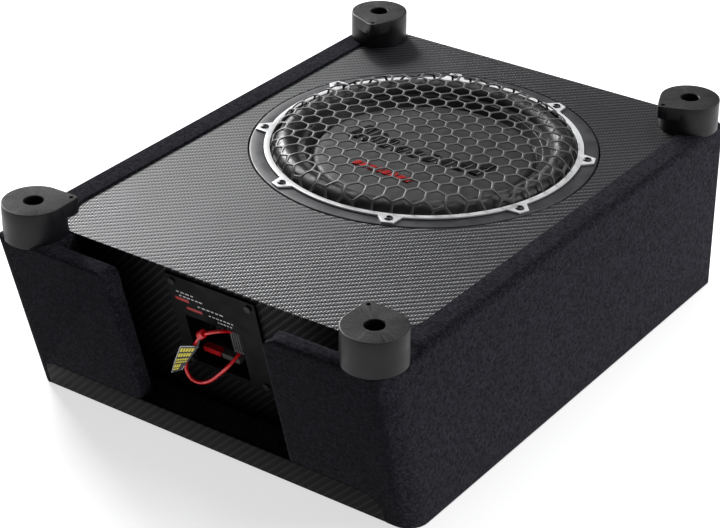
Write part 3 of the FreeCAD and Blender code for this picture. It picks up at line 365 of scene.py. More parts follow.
def carpet_material():
    """Short felted pile in clumps, with a little pale lint. Faces that point forwards are painted darker,
    with less sheen: painted shade.
    """
    recipe = Recipe("carpet_felt", Roughness=1.0, Specular_IOR_Level=0.05)
    facing = recipe.tree.nodes.new("ShaderNodeSeparateXYZ")
    recipe.tree.links.new(recipe.tree.nodes.new("ShaderNodeNewGeometry").outputs["Normal"], facing.inputs[0])
    # Painted shade: faces whose normal points forwards get 0.42 of the colour, lint and sheen.
    front_painted_shade = recipe.ramp(facing.outputs["Y"], -0.94, -0.75, 0.42, 1.0)
    clumps = recipe.ramp(recipe.noise(3.4 * MM, detail=4.0, roughness=0.8), 0.36, 0.64, 0.45, 1.25)
    # depth carries the random clumps and the painted shade of the front faces.
    depth = recipe.times(front_painted_shade, clumps)
    fibres = recipe.noise(1.6 * MM, detail=5.0, roughness=0.75)
    strands = recipe.noise(0.9 * MM, scale=(1, 0.4, 1), detail=3.0, roughness=0.7)
    tone = recipe.plus(recipe.times(fibres, 0.6), recipe.times(strands, 0.4))
    pile = recipe.mix(
        recipe.times(recipe.ramp(tone, 0.40, 0.62, 0, 1), depth),
        (0.0022, 0.0022, 0.003),
        (0.028, 0.0265, 0.037),
    )
    lint = recipe.noise(1.1 * MM, scale=(1, 0.35, 0.7), detail=1.0)
    recipe.set(
        Base_Color=recipe.blend(
            recipe.times(recipe.ramp(lint, 0.70, 0.78, 0, 0.45), depth), pile, (0.13, 0.125, 0.14)
        ),
        Sheen_Weight=recipe.times(depth, 0.18),
        Sheen_Roughness=0.45,
        Sheen_Tint=(0.54, 0.52, 0.60, 1),
    )
    recipe.bump(tone, 1.4 * MM, 1.0)
    return recipe.material


def twill_material(name, axes, dark, light, rough, shine):
    """Embossed two-by-two twill. Shine is its least and most gloss. Its colour is lighter on the crowns of
    the floats and darker in the grooves, partly the vinyl's own weave and partly painted highlight and
    painted shade; warp floats are painted lighter than weft floats as painted reflection.
    """
    width = 2.03 * MM
    recipe = Recipe(name, Roughness=rough)
    coordinates = recipe.tree.nodes.new("ShaderNodeTexCoord").outputs["Object"]
    split = recipe.tree.nodes.new("ShaderNodeSeparateXYZ")
    recipe.tree.links.new(coordinates, split.inputs[0])
    across = recipe.math("DIVIDE", split.outputs[axes[0]], width)
    along = recipe.math("DIVIDE", split.outputs[axes[1]], width)
    column = recipe.math("FLOOR", across)
    row = recipe.math("FLOOR", along)
    order = recipe.math("FLOORED_MODULO", recipe.minus(column, row), 4.0)
    warp = recipe.math("LESS_THAN", order, 1.5)

    def crown(value):
        centred = recipe.minus(recipe.times(value, 2.0), 1.0)
        return recipe.minus(1.0, recipe.times(centred, centred))

    def choose(when, otherwise):
        gain = recipe.times(recipe.minus(when, otherwise), warp)
        return recipe.plus(otherwise, gain)

    side_warp = crown(recipe.math("FRACT", across))
    side_weft = crown(recipe.math("FRACT", along))
    rise = recipe.math("FLOORED_MODULO", recipe.minus(recipe.plus(column, 1.0), along), 4.0)
    run_warp = recipe.math("DIVIDE", rise, 2.0)
    reach = recipe.math("FLOORED_MODULO", recipe.minus(across, row), 4.0)
    run_weft = recipe.math("DIVIDE", recipe.minus(reach, 2.0), 2.0)
    side = choose(side_warp, side_weft)
    run = choose(crown(run_warp), crown(run_weft))
    height = recipe.plus(recipe.times(side, 0.4), recipe.times(run, 0.6))
    wear = recipe.noise(60 * MM, detail=3.0)
    # Crowns lighter, grooves darker: the vinyl's own weave with painted highlight and painted shade.
    crown_highlight_and_groove_shade = recipe.ramp(height, 0.2, 0.8, 0.0, 1.0)
    # Painted reflection: warp floats lighter than weft floats.
    warp_painted_reflection = recipe.plus(0.3, recipe.times(warp, 0.7))
    tone = recipe.times(recipe.times(crown_highlight_and_groove_shade, warp_painted_reflection), recipe.ramp(wear, 0.3, 0.7, 0.9, 1.0))
    recipe.set(
        Base_Color=recipe.mix(tone, dark, light),
        Specular_IOR_Level=recipe.plus(shine[0], recipe.times(tone, shine[1] - shine[0])),
    )
    recipe.bump(height, 0.45 * MM, 1.0)
    return recipe.material


def plastic_material(name, colour, rough=0.4, grain=0.6 * MM, depth=0.12 * MM, spread=0.35, gloss=0.5):
    """Moulded plastic with a fine grain and slightly uneven gloss."""
    recipe = Recipe(name, Specular_IOR_Level=gloss)
    texture = recipe.noise(grain, detail=3.0)
    patches = recipe.noise(18 * MM, detail=2.0)
    lighter = tuple(min(1.0, part * (1 + spread)) for part in colour)
    darker = tuple(part * (1 - spread) for part in colour)
    recipe.set(
        Base_Color=recipe.mix(recipe.ramp(texture, 0.35, 0.65, 0, 1), darker, lighter),
        Roughness=recipe.ramp(patches, 0.3, 0.7, rough * 0.85, rough * 1.15),
    )
    recipe.bump(texture, depth)
    return recipe.material


def metal_material(name, colour, rough=0.3, grain=0.5 * MM, stretch=(1, 1, 1), depth=0.02 * MM, metallic=1.0):
    recipe = Recipe(name, Metallic=metallic)
    texture = recipe.noise(grain, scale=stretch, detail=4.0)
    darker = tuple(part * 0.82 for part in colour)
    recipe.set(
        Base_Color=recipe.mix(recipe.ramp(texture, 0.3, 0.7, 0, 1), darker, colour),
        Roughness=recipe.ramp(texture, 0.3, 0.7, rough * 0.8, rough * 1.25),
    )
    recipe.bump(texture, depth)
    return recipe.material


def gloss_material(name, colour, rough=0.12, coat=0.5, grain=2 * MM, depth=0.03 * MM, spread=0.2):
    """Glossy paint, lacquer or smooth rubber with a faint orange peel."""
    recipe = Recipe(name, Coat_Weight=coat, Coat_Roughness=0.06)
    texture = recipe.noise(grain, detail=2.0)
    darker = tuple(part * (1 - spread) for part in colour)
    lighter = tuple(min(1.0, part * (1 + spread)) for part in colour)
    recipe.set(
        Base_Color=recipe.mix(recipe.ramp(texture, 0.3, 0.7, 0, 1), darker, lighter),
        Roughness=recipe.ramp(texture, 0.3, 0.7, rough * 0.8, rough * 1.3),
    )
    recipe.bump(texture, depth)
    return recipe.material


def print_material(name, colour):
    """Flat ink."""
    return plastic_material(name, colour, rough=0.5, grain=0.6 * MM, depth=0.01 * MM, spread=0.15)


def board_material():
    """Black-stained fibreboard."""
    recipe = Recipe("stained_board", Roughness=0.85)
    fibres = recipe.noise(1.5 * MM, scale=(1, 1, 3), detail=4.0)
    recipe.set(Base_Color=recipe.mix(fibres, (0.012, 0.011, 0.010), (0.035, 0.031, 0.027)))
    recipe.bump(fibres, 0.2 * MM)
    return recipe.material


FINISH = {
    "carpet": carpet_material(),
    "twill_flat": twill_material(
        "twill_vinyl_flat", ("X", "Y"), (0.0035, 0.0035, 0.0045), (0.042, 0.041, 0.047), 0.33, (0.02, 1.0)
    ),
    # Painted shade: the upright and sill twills are darker copies of the deck's vinyl, for the recess wall,
    # the rear and the front sill.
    "twill_upright_painted_shade": twill_material(
        "twill_vinyl_upright_painted_shade", ("X", "Z"), (0.0015, 0.0015, 0.002), (0.009, 0.009, 0.010), 0.5, (0.02, 0.18)
    ),
    "twill_sill_painted_shade": twill_material(
        "twill_vinyl_sill_painted_shade", ("X", "Z"), (0.0012, 0.0012, 0.0016), (0.0042, 0.0042, 0.0048), 0.5, (0.05, 0.12)
    ),
    "board": board_material(),
    "foot": plastic_material(
        "foot_plastic", (0.008, 0.008, 0.010), rough=0.42, grain=0.7 * MM, depth=0.05 * MM, gloss=0.28
    ),
    "trim": plastic_material(
        "trim_plastic", (0.032, 0.032, 0.037), rough=0.42, grain=0.8 * MM, depth=0.03 * MM
    ),
    "silver": metal_material("silver_ring", (0.95, 0.95, 0.96), rough=0.36, metallic=0.1),
    # Painted sheen: grey, lighter than black gloss paint, standing in for its reflections.
    "grille": plastic_material(
        "grille_paint", (0.088, 0.088, 0.092), rough=0.45, depth=0.01 * MM, spread=0.1
    ),
    "rubber": gloss_material("surround_rubber", (0.020, 0.020, 0.021), rough=0.42, coat=0.0, grain=5 * MM),
    "cone": plastic_material(
        "cone_plastic", (0.022, 0.022, 0.024), rough=0.55, grain=0.5 * MM, depth=0.06 * MM
    ),
    "cap": plastic_material(
        "cap_plastic", (0.020, 0.020, 0.021), rough=0.5, grain=0.4 * MM, depth=0.03 * MM
    ),
    "emblem": gloss_material("emblem_gloss", (0.002, 0.002, 0.0025), rough=0.07, coat=0.9),
    "red": gloss_material("accent_red", (0.62, 0.012, 0.012), rough=0.25, coat=0.4),
    "cable": gloss_material("cable_red", (0.80, 0.008, 0.014), rough=0.24, coat=0.6, grain=3 * MM),
    "black_steel": metal_material("black_steel", (0.05, 0.05, 0.055), rough=0.35),
    "zinc": metal_material("zinc_steel", (0.62, 0.63, 0.66), rough=0.32),
    "basket": gloss_material("basket_paint", (0.012, 0.012, 0.013), rough=0.45, coat=0.1),
    "foam": plastic_material("gasket_foam", (0.02, 0.02, 0.02), rough=0.9, grain=0.8 * MM, depth=0.2 * MM),
    "former": metal_material("former_metal", (0.75, 0.76, 0.78), rough=0.3),
    "copper": metal_material("copper_wire", (0.72, 0.33, 0.16), rough=0.3, stretch=(0.2, 0.2, 6)),
    "cloth": plastic_material(
        "spider_cloth", (0.30, 0.20, 0.08), rough=0.85, grain=0.9 * MM, depth=0.2 * MM
    ),
    "motor": metal_material("motor_steel", (0.20, 0.20, 0.21), rough=0.4),
    "ferrite": plastic_material("ferrite", (0.025, 0.025, 0.027), rough=0.7, grain=1 * MM),
    # Painted shade: darker than plain black plastic, to match the shaded recess wall.
    "panel": plastic_material(
        "panel_plastic", (0.003, 0.003, 0.0035), rough=0.55, grain=0.5 * MM, depth=0.05 * MM, gloss=0.08
    ),
    "knob": plastic_material("knob_plastic", (0.02, 0.02, 0.022), rough=0.35),
    "switch": plastic_material("switch_plastic", (0.25, 0.25, 0.26), rough=0.45),
    "plug": plastic_material(
        "plug_plastic", (0.018, 0.018, 0.020), rough=0.32, grain=0.4 * MM, depth=0.05 * MM
    ),
    "red_fuse": gloss_material("red_fuse_plastic", (0.50, 0.010, 0.015), rough=0.2, coat=0.4),
    "clear_fuse": gloss_material("clear_fuse_plastic", (0.10, 0.09, 0.09), rough=0.2, coat=0.4),
    "laminate": plastic_material("board_laminate", (0.015, 0.10, 0.035), rough=0.45),
    "aluminium": metal_material("heatsink_metal", (0.55, 0.56, 0.58), rough=0.4, stretch=(0.1, 4, 4)),
    "component": plastic_material("component_black", (0.008, 0.008, 0.009), rough=0.45, gloss=0.2),
    "sleeve": plastic_material("can_sleeve", (0.02, 0.03, 0.08), rough=0.35),
    "sheath": gloss_material("lead_sheath", (0.05, 0.005, 0.006), rough=0.4, coat=0.1),
    "card": plastic_material("tag_card", (0.012, 0.012, 0.013), rough=0.4, grain=0.8 * MM, depth=0.03 * MM),
    "yellow": print_material("print_yellow", (0.92, 0.76, 0.02)),
    "white": print_material("print_white", (0.55, 0.55, 0.55)),
    "print_red": print_material("print_red", (0.35, 0.01, 0.01)),
}

NODE_FINISH = {
    "base_board": "board", "baffle_board": "board", "rear_board": "board", "amp_wall_board": "board",
    "left_cheek_board": "board", "right_cheek_board": "board",
    "left_pillar": "board", "right_pillar": "board",
    # The amp wall and the rear get the darker twill copy: painted shade.
    "recess_floor_carpet": "carpet", "amp_wall_vinyl": "twill_upright_painted_shade", "rear_vinyl": "twill_upright_painted_shade",
    "base_vinyl": "twill_flat", "foot_bolts": "black_steel", "foot_inserts": "zinc", "gasket": "foam",
    "basket": "basket", "voice_coil_former": "former", "voice_coil": "copper", "top_plate": "motor",
    "magnet": "ferrite", "back_plate": "motor", "terminal_strip": "laminate",
    "phase_switch": "switch", "fuse_holders": "plug", "amp_screws": "component", "amp_board": "laminate",
    "amp_heatsink": "aluminium", "toroid": "copper", "capacitors": "sleeve", "transistors": "component",
    "speaker_leads": "sheath", "harness_plug": "plug", "plug_socket": "plug", "rca_sockets": "black_steel",
    "red_fuse": "red_fuse", "clear_fuse": "clear_fuse", "driver_screws": "black_steel",
    "amp_plate": "panel", "grille_ring": "silver", "trim_ring": "trim", "baffle_vinyl": "twill_flat",
}


def paint_nodes():
    """Give each CAD node that stays its material."""
    for name, finish in NODE_FINISH.items():
        mesh = NODES[name].data
        mesh.materials.clear()
        mesh.materials.append(FINISH[finish])


# ---- pull loop -------------------------------------------------------------------------------

LOOP_ROUTE = [
    (0.0090, -0.2176, 0.1162),
    (0.0060, -0.2275, 0.1200),
    (-0.0005, -0.2325, 0.1190),
    (-0.0100, -0.2330, 0.1140),
    (-0.0195, -0.2295, 0.1010),
    (-0.0305, -0.2245, 0.0840),
    (-0.0400, -0.2210, 0.0675),
    (-0.0375, -0.2185, 0.0550),
    (-0.0270, -0.2180, 0.0530),
    (-0.0145, -0.2190, 0.0600),
    (-0.0045, -0.2195, 0.0705),
    (0.0040, -0.2195, 0.0800),
    (0.0085, -0.2135, 0.0875),
    (0.0090, -0.2063, 0.0916),
]
LOOP_RADIUS = 1.6 * MM


def make_loop():
    curve = bpy.data.curves.new("pull_loop_line", "CURVE")
    curve.dimensions = "3D"
    curve.bevel_depth = LOOP_RADIUS
    curve.bevel_resolution = 5
    curve.use_fill_caps = True
    spline = curve.splines.new("NURBS")
    spline.points.add(len(LOOP_ROUTE) - 1)
    for point, place in zip(spline.points, LOOP_ROUTE):
        point.co = (*place, 1)
    spline.order_u = 3
    spline.use_endpoint_u = True
    spline.resolution_u = 12
    curve.materials.append(FINISH["cable"])
    loop = add_object("pull_loop_cord", curve)
    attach(loop, "plug")
    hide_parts("pull_loop")
    return loop


def make_knot():
    """Three tight turns of the cable round both legs of the loop."""
    low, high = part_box("pull_crimp")
    middle = (low + high) / 2
    lie = Vector(LOOP_ROUTE[4]) - Vector(LOOP_ROUTE[2])
    turns = []
    for index in (-1, 0, 1):
        coil = bmesh.new()
        rings = []
        for step in range(32):
            angle = 2 * math.pi * step / 32
            heading = Vector((math.cos(angle), math.sin(angle), 0))
            ring = [heading * (2.4 * MM + x) + Vector((0, 0, z)) for x, z in circle(1.45 * MM, 12)]
            rings.append([coil.verts.new(point) for point in ring])
        for near, far in zip(rings, rings[1:] + rings[:1]):
            for here in range(12):
                after = (here + 1) % 12
                coil.faces.new((near[here], near[after], far[after], far[here]))
        tilt = Matrix.Rotation(math.radians(14 * index), 4, "X")
        stand = Matrix.Translation(middle) @ lie.to_track_quat("Z", "Y").to_matrix().to_4x4()
        place = stand @ Matrix.Translation((0, 0, 2.3 * MM * index)) @ tilt
        bmesh.ops.transform(coil, matrix=place, verts=coil.verts)
        turns.append(coil)
    mesh = to_mesh("knot", join(turns))
    item = add_piece("loop_knot", mesh, "plug", "cable", crease=80)
    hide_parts("pull_crimp")
    return item


# ---- box -------------------------------------------------------------------------------------

SILL_ENDS = {-1: 188.3 * MM, 1: 171 * MM}
SILL_ROUNDS = {-1: 12 * MM, 1: 20 * MM}
SILL_TOP = 28 * MM
FLANGE = 18 * MM
SLOT_END = 142 * MM


def make_carpet(side):
    """One soft skin over the side, the deck's edge, the back corner and the pillar."""
    low = 0.5 * MM
    edge = 174.5 * MM + 0.75 * MM
    sill_end = SILL_ENDS[side]
    sill_top = SILL_TOP + 0.5 * MM
    sill_round = min(SILL_ROUNDS[side], sill_end - PILLAR_IN - 1 * MM)
    sill_drop = SILL_ROUNDS[side]
    step_rear = -215 * MM
    step_front = -221 * MM
    inner_low = 19.5 * MM

    def back(height):
        return front(height) + FLANGE / math.cos(LEAN)

    outline = {
        "side": [
            (WIDE, DEEP, low), (WIDE, DEEP, CARPET_TOP), (WIDE, step_rear, CARPET_TOP),
            (WIDE, step_front, PILLAR_TOP), (WIDE, -DEEP, PILLAR_TOP), (WIDE, front(low), low),
        ],
        "rear": [(WIDE, DEEP, low), (WIDE, DEEP, CARPET_TOP), (edge, DEEP, CARPET_TOP), (edge, DEEP, low)],
        "strip": [
            (WIDE, DEEP, CARPET_TOP), (WIDE, step_rear, CARPET_TOP), (167.2 * MM, step_rear, CARPET_TOP),
            (167.2 * MM, -203.4 * MM, CARPET_TOP), (174.2 * MM, -193.6 * MM, CARPET_TOP),
            (edge, -183 * MM, CARPET_TOP), (edge, DEEP, CARPET_TOP),
        ],
        "step": [
            (WIDE, step_rear, CARPET_TOP), (WIDE, step_front, PILLAR_TOP), (edge, step_front, PILLAR_TOP),
            (167.2 * MM, step_rear, CARPET_TOP),
        ],
        "top": [
            (WIDE, step_front, PILLAR_TOP), (WIDE, -DEEP, PILLAR_TOP), (PILLAR_IN, -DEEP, PILLAR_TOP),
            (PILLAR_IN, back(PILLAR_TOP), PILLAR_TOP), (SLOT_END, back(PILLAR_TOP), PILLAR_TOP),
            (SLOT_END, wall(PILLAR_TOP), PILLAR_TOP), (edge, wall(PILLAR_TOP), PILLAR_TOP),
            (edge, step_front, PILLAR_TOP),
        ],
        "front": [
            (WIDE, -DEEP, PILLAR_TOP), (WIDE, front(low), low), (sill_end, front(low), low),
            *[
                (sill_end - sill_round * (1 - x), front(height), height)
                for x, height in ((x, sill_top - sill_drop * (1 - z)) for x, z in arc((0, 0), 1, 0, 90, 6))
            ],
            (PILLAR_IN, front(sill_top), sill_top), (PILLAR_IN, -DEEP, PILLAR_TOP),
        ],
        "inner": [
            (PILLAR_IN, -DEEP, PILLAR_TOP), (PILLAR_IN, front(sill_top), sill_top),
            (PILLAR_IN, back(inner_low), inner_low), (PILLAR_IN, back(PILLAR_TOP), PILLAR_TOP),
        ],
        "behind": [
            (PILLAR_IN, back(PILLAR_TOP), PILLAR_TOP), (PILLAR_IN, back(inner_low), inner_low),
            (SLOT_END, back(inner_low), inner_low), (SLOT_END, back(PILLAR_TOP), PILLAR_TOP),
        ],
        "slot": [
            (SLOT_END, back(PILLAR_TOP), PILLAR_TOP), (SLOT_END, back(inner_low), inner_low),
            (SLOT_END, wall(inner_low), inner_low), (SLOT_END, wall(PILLAR_TOP), PILLAR_TOP),
        ],
    }
    radii = {
        ("side", "strip"): 9, ("side", "step"): 9, ("side", "top"): 9, ("side", "rear"): 9,
        ("rear", "strip"): 7,
        ("side", "front"): 22, ("front", "top"): 8.6, ("inner", "top"): 30, ("front", "inner"): 8.6,
        ("behind", "inner"): 8.6, ("behind", "top"): 8.6, ("slot", "top"): 3,
        ("strip", "step"): 4, ("step", "top"): 4,
    }
    shape = bmesh.new()
    corners = {}
    names = {}
    for name, points in outline.items():
        loop = []
        for x, y, z in points:
            key = (round(x, 6), round(y, 6), round(z, 6))
            if key not in corners:
                corners[key] = shape.verts.new((side * x, y, z))
            if corners[key] not in loop:
                loop.append(corners[key])
        names[shape.faces.new(loop)] = name
    largest = 30 * MM
    weights = shape.edges.layers.float.new("bevel_weight_edge")
    for edge_line in shape.edges:
        pair = tuple(sorted(names[face] for face in edge_line.link_faces))
        match = {tuple(sorted(key)): value for key, value in radii.items()}
        if pair in match:
            edge_line[weights] = match[pair] * MM / largest
    mesh = to_mesh("carpet", shape)
    outward = Vector((side, 0, 0))
    side_face = max(mesh.polygons, key=lambda face: face.area)
    if side_face.normal.dot(outward) < 0:
        mesh.flip_normals()
    bevel = {
        "width": largest, "segments": 7, "limit_method": "WEIGHT", "profile": 0.5, "use_clamp_overlap": True,
        "miter_outer": "MITER_SHARP",
    }
    skin = {"thickness": CARPET - 0.05 * MM, "offset": -1.0, "use_even_offset": True, "use_rim": True}
    rim = {"width": 0.8 * MM, "segments": 2, "limit_method": "ANGLE", "angle_limit": math.radians(60)}
    mesh = with_modifiers(mesh, [("BEVEL", bevel), ("SOLIDIFY", skin), ("BEVEL", rim)])
    name = "left" if side < 0 else "right"
    add_piece(f"{name}_carpet_cover", mesh, "root", "carpet", crease=50, node=f"{name}_carpet")


# ---- driver ----------------------------------------------------------------------------------

SCREWS = 8
FIRST_SCREW = math.radians(22.5)
SCREW_CIRCLE = 147.5 * MM


def dome_line():
    """Return (distance along, radius, height) along the middle of the grille's sheet."""
    shoulder = 118 * MM
    rim = 137.0 * MM
    crown = 1.9 * MM
    top = DOME_TOP - 0.7 * MM
    foot = FRAME_TOP + 0.9 * MM
    power = 2.6
    points = [(shoulder * step / 20, top - crown * (step / 20) ** 2) for step in range(21)]
    drop = top - crown - foot
    for step in range(1, 61):
        share = math.sin(math.pi / 2 * step / 60)
        height = (1 - share**power) ** (1 / power)
        points.append((shoulder + (rim - shoulder) * share, foot + drop * height))
    points.append((rim + 3 * MM, foot))
    line = [(0.0, *points[0])]
    for before, after in zip(points, points[1:]):
        line.append((line[-1][0] + math.dist(before, after), *after))
    return line


def along_dome(line, flat, scale_start=112 * MM, flat_end=142 * MM):
    """Return the radius and height of a point that was this far from the middle of the flat sheet."""
    end = line[-1][0]
    start = next(entry[0] for entry in line if entry[1] >= scale_start)
    travel = flat if flat < start else start + (flat - start) * (end - start) / (flat_end - start)
    if travel >= end:
        return line[-1][1] + (travel - end) * 0.05, line[-1][2]
    for before, after in zip(line, line[1:]):
        if after[0] >= travel:
            share = (travel - before[0]) / (after[0] - before[0])
            return before[1] + share * (after[1] - before[1]), before[2] + share * (after[2] - before[2])
    return line[-1][1], line[-1][2]


def make_grille():
    """Sheet with hexagonal holes, pressed into a dome."""
    pitch = 17.2 * MM
    wire = 2.4 * MM
    reach = 142 * MM
    steps = 4
    heading = math.radians(22.5)
    corner = pitch / math.sqrt(3)
    hole = (pitch - wire) / math.sqrt(3)
    line = dome_line()
    shape = bmesh.new()
    count = int(reach / pitch * 1.3) + 1
    turns = [math.radians(30 + 60 * k) for k in range(7)]
    directions = [Vector((math.cos(turn_by), math.sin(turn_by))) for turn_by in turns]
    spin = Matrix.Rotation(heading, 2)
    for row in range(-count, count + 1):
        for column in range(-count, count + 1):
            middle = Vector(((column + row / 2) * pitch, row * pitch * math.sqrt(3) / 2))
            if middle.length > reach:
                continue
            for first, last in zip(directions, directions[1:]):
                previous = None
                for step in range(steps + 1):
                    ray = first.lerp(last, step / steps)
                    outer, inner = middle + ray * corner, middle + ray * hole
                    pair = [shape.verts.new((*(spin @ flat), 0)) for flat in (outer, inner)]
                    if previous:
                        shape.faces.new((previous[0], pair[0], pair[1], previous[1]))
                    previous = pair
    bmesh.ops.remove_doubles(shape, verts=shape.verts, dist=5e-6)
    for vertex in shape.verts:
        flat = vertex.co.xy.length
        radius, height = along_dome(line, flat)
        direction = vertex.co.normalized() if flat > 0 else Vector((1, 0, 0))
        vertex.co = DRIVER + direction * radius + Vector((0, 0, height))
    mesh = to_mesh("grille", shape)
    solid = {"thickness": 1.3 * MM, "offset": 0.0, "use_even_offset": False, "use_rim": True}
    soft = {"levels": 1, "render_levels": 1}
    mesh = with_modifiers(mesh, [("SOLIDIFY", solid), ("SUBSURF", soft)])
    add_piece("grille_screen", mesh, "root", "grille", crease=80, node="grille_mesh")


def make_trim():
    """Flat plastic band round the grille ring."""
    low = FRAME_TOP + 0.05 * MM
    inner, outer = 143.8 * MM, 156.6 * MM
    profile = round_corners(
        [(inner, low), (outer, low), (outer, TRIM_TOP), (inner, TRIM_TOP)],
        [0.2 * MM, 0.2 * MM, 1.2 * MM, 0.5 * MM],
    )
    mesh = to_mesh("trim", turn(profile, 192))
    add_piece("trim_band", mesh, "root", "trim", node="trim_ring")


def make_ring():
    """Silver ring with eight trapezoidal ears."""
    inner, outer, reach = 138.1 * MM, 143.5 * MM, 154.4 * MM
    outline = []
    for index in range(SCREWS):
        middle = FIRST_SCREW + index * 2 * math.pi / SCREWS
        ear = [
            (outer, -10.5), (outer + 2.4 * MM, -9.2), (reach, -5.2),
            (reach, 5.2), (outer + 2.4 * MM, 9.2), (outer, 10.5),
        ]
        for radius, across in ear:
            angle = middle + math.atan2(across * MM, radius)
            stretch = radius / math.cos(angle - middle) if radius > outer else radius
            outline.append((stretch * math.cos(angle), stretch * math.sin(angle)))
        gap = 2 * math.pi / SCREWS - 2 * math.atan2(10.5 * MM, outer)
        start = middle + math.atan2(10.5 * MM, outer)
        for step in range(1, 12):
            angle = start + gap * step / 12
            outline.append((outer * math.cos(angle), outer * math.sin(angle)))
    holes = [circle(inner, 192)]
    for index in range(SCREWS):
        angle = FIRST_SCREW + index * 2 * math.pi / SCREWS
        holes.append(circle(2.6 * MM, 20, (SCREW_CIRCLE * math.cos(angle), SCREW_CIRCLE * math.sin(angle))))
    shape = plate(outline, holes, TRIM_TOP + 0.05 * MM, RING_TOP, 0.5 * MM, Matrix.Translation(DRIVER))
    mesh = to_mesh("ring", shape)
    add_piece("grille_clamp_ring", mesh, "root", "silver", node="grille_ring")


def make_screws():
    """Low button heads with round sockets."""
    shapes = []
    head, rise = 3.9 * MM, 1.6 * MM
    for index in range(SCREWS):
        angle = FIRST_SCREW + index * 2 * math.pi / SCREWS
        centre = DRIVER + Vector((math.cos(angle), math.sin(angle), 0)) * SCREW_CIRCLE
        profile = [
            (0, RING_TOP + 0.4 * MM), (1.3 * MM, RING_TOP + 0.4 * MM), (1.6 * MM, RING_TOP + rise),
            (2.6 * MM, RING_TOP + rise * 0.92), (3.5 * MM, RING_TOP + rise * 0.6),
            (head, RING_TOP + 0.1 * MM),
            (head, RING_TOP), (2.2 * MM, RING_TOP), (2.2 * MM, RING_TOP - 8 * MM), (0, RING_TOP - 8 * MM),
        ]
        shapes.append(turn(profile, 18, centre=centre))
    mesh = to_mesh("screws", join(shapes))
    add_piece("driver_screw_heads", mesh, "root", "black_steel", node="driver_screws")


def make_ring_sectors(name, profile, node, material):
    """A flexible ring made as sectors, each its own object."""
    sectors = 16
    for index in range(sectors):
        start = 2 * math.pi * index / sectors
        end = 2 * math.pi * (index + 1) / sectors
        mesh = to_mesh(name, turn(profile, 18, start, end))
        for face in mesh.polygons:
            face.use_smooth = True
        mesh.set_sharp_from_angle(angle=math.radians(50))
        mesh.materials.append(FINISH[material])
        item = add_object(f"{name}_{index + 1:02d}", mesh)
        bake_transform(item)
        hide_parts(node)


def make_surround():
    """Half-round rubber roll."""
    level = FRAME_TOP + 0.1 * MM
    middle, roll, thick = 124 * MM, 10.5 * MM, 1.2 * MM
    outer_lip, inner_lip = 138.8 * MM, 107.4 * MM
    top = [(outer_lip, level + thick), *arc((middle, level), roll, 7, 173, 22), (inner_lip, level + thick)]
    under = [(inner_lip, level), *arc((middle, level), roll - thick, 179.5, 0.5, 22), (outer_lip, level)]
    make_ring_sectors(
        "surround_sector", top + under, "surround", "rubber",
    )


def make_spider():
    """Corrugated cloth disc between the former and the frame's shelf."""
    low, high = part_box("spider")
    thick, wave, inner, shelf = 0.6 * MM, 1.6 * MM, 32.2 * MM, 62 * MM
    outer = (high.x - low.x) / 2
    level = high.z - wave
    half_waves = 10
    top = [(inner, level)]
    for step in range(1, half_waves):
        top.append((inner + step * (shelf - inner) / half_waves, level + (wave if step % 2 else -wave)))
    top += [(shelf, level), (outer, level)]
    under = [(radius, height - thick) for radius, height in reversed(top)]
    make_ring_sectors(
        "spider_sector", top + under, "spider", "cloth"
    )


# ---- feet ------------------------------------------------------------------------------------

FOOT_RADIUS = 27.1 * MM
TAB_REACH = 38.3 * MM
FOOT_HOLE = 8.3 * MM
HEAD_HOLE = 5.6 * MM
FOOT_SEAT = 175 * MM
HEAD_SEAT = 169.5 * MM
TAB_THICK = 12 * MM


def streak_material(name, centre):
    """Satin plastic turned so that fine streaks run out from the middle of the foot."""
    recipe = Recipe(name, Specular_IOR_Level=0.25)
    coordinates = recipe.tree.nodes.new("ShaderNodeTexCoord").outputs["Object"]
    split = recipe.tree.nodes.new("ShaderNodeSeparateXYZ")
    recipe.tree.links.new(coordinates, split.inputs[0])
    across = recipe.minus(split.outputs["X"], centre.x)
    along = recipe.minus(split.outputs["Y"], centre.y)
    angle = recipe.math("ARCTAN2", along, across)
    streaks = recipe.node(
        "ShaderNodeTexNoise", setup={"noise_dimensions": "1D"},
        W=recipe.times(angle, 34.0), Detail=2.0,
    )
    fine = recipe.noise(0.8 * MM, detail=3.0)
    tone = recipe.plus(recipe.times(streaks, 0.75), recipe.times(fine, 0.25))
    recipe.set(
        Base_Color=recipe.mix(
            recipe.ramp(tone, 0.35, 0.65, 0, 1), (0.0015, 0.0015, 0.002), (0.022, 0.022, 0.024)
        ),
        Roughness=recipe.ramp(tone, 0.35, 0.65, 0.7, 0.5),
    )
    recipe.bump(streaks, 0.4 * MM, 1.0)
    return recipe.material


def drop_radius(angle):
    """Return the reach of a drop-shaped outline at an angle from its tip."""
    spread = math.acos(FOOT_RADIUS / TAB_REACH)
    turned = math.hypot(angle, math.radians(3))
    if turned >= spread:
        return FOOT_RADIUS
    return FOOT_RADIUS / math.cos(spread - turned)


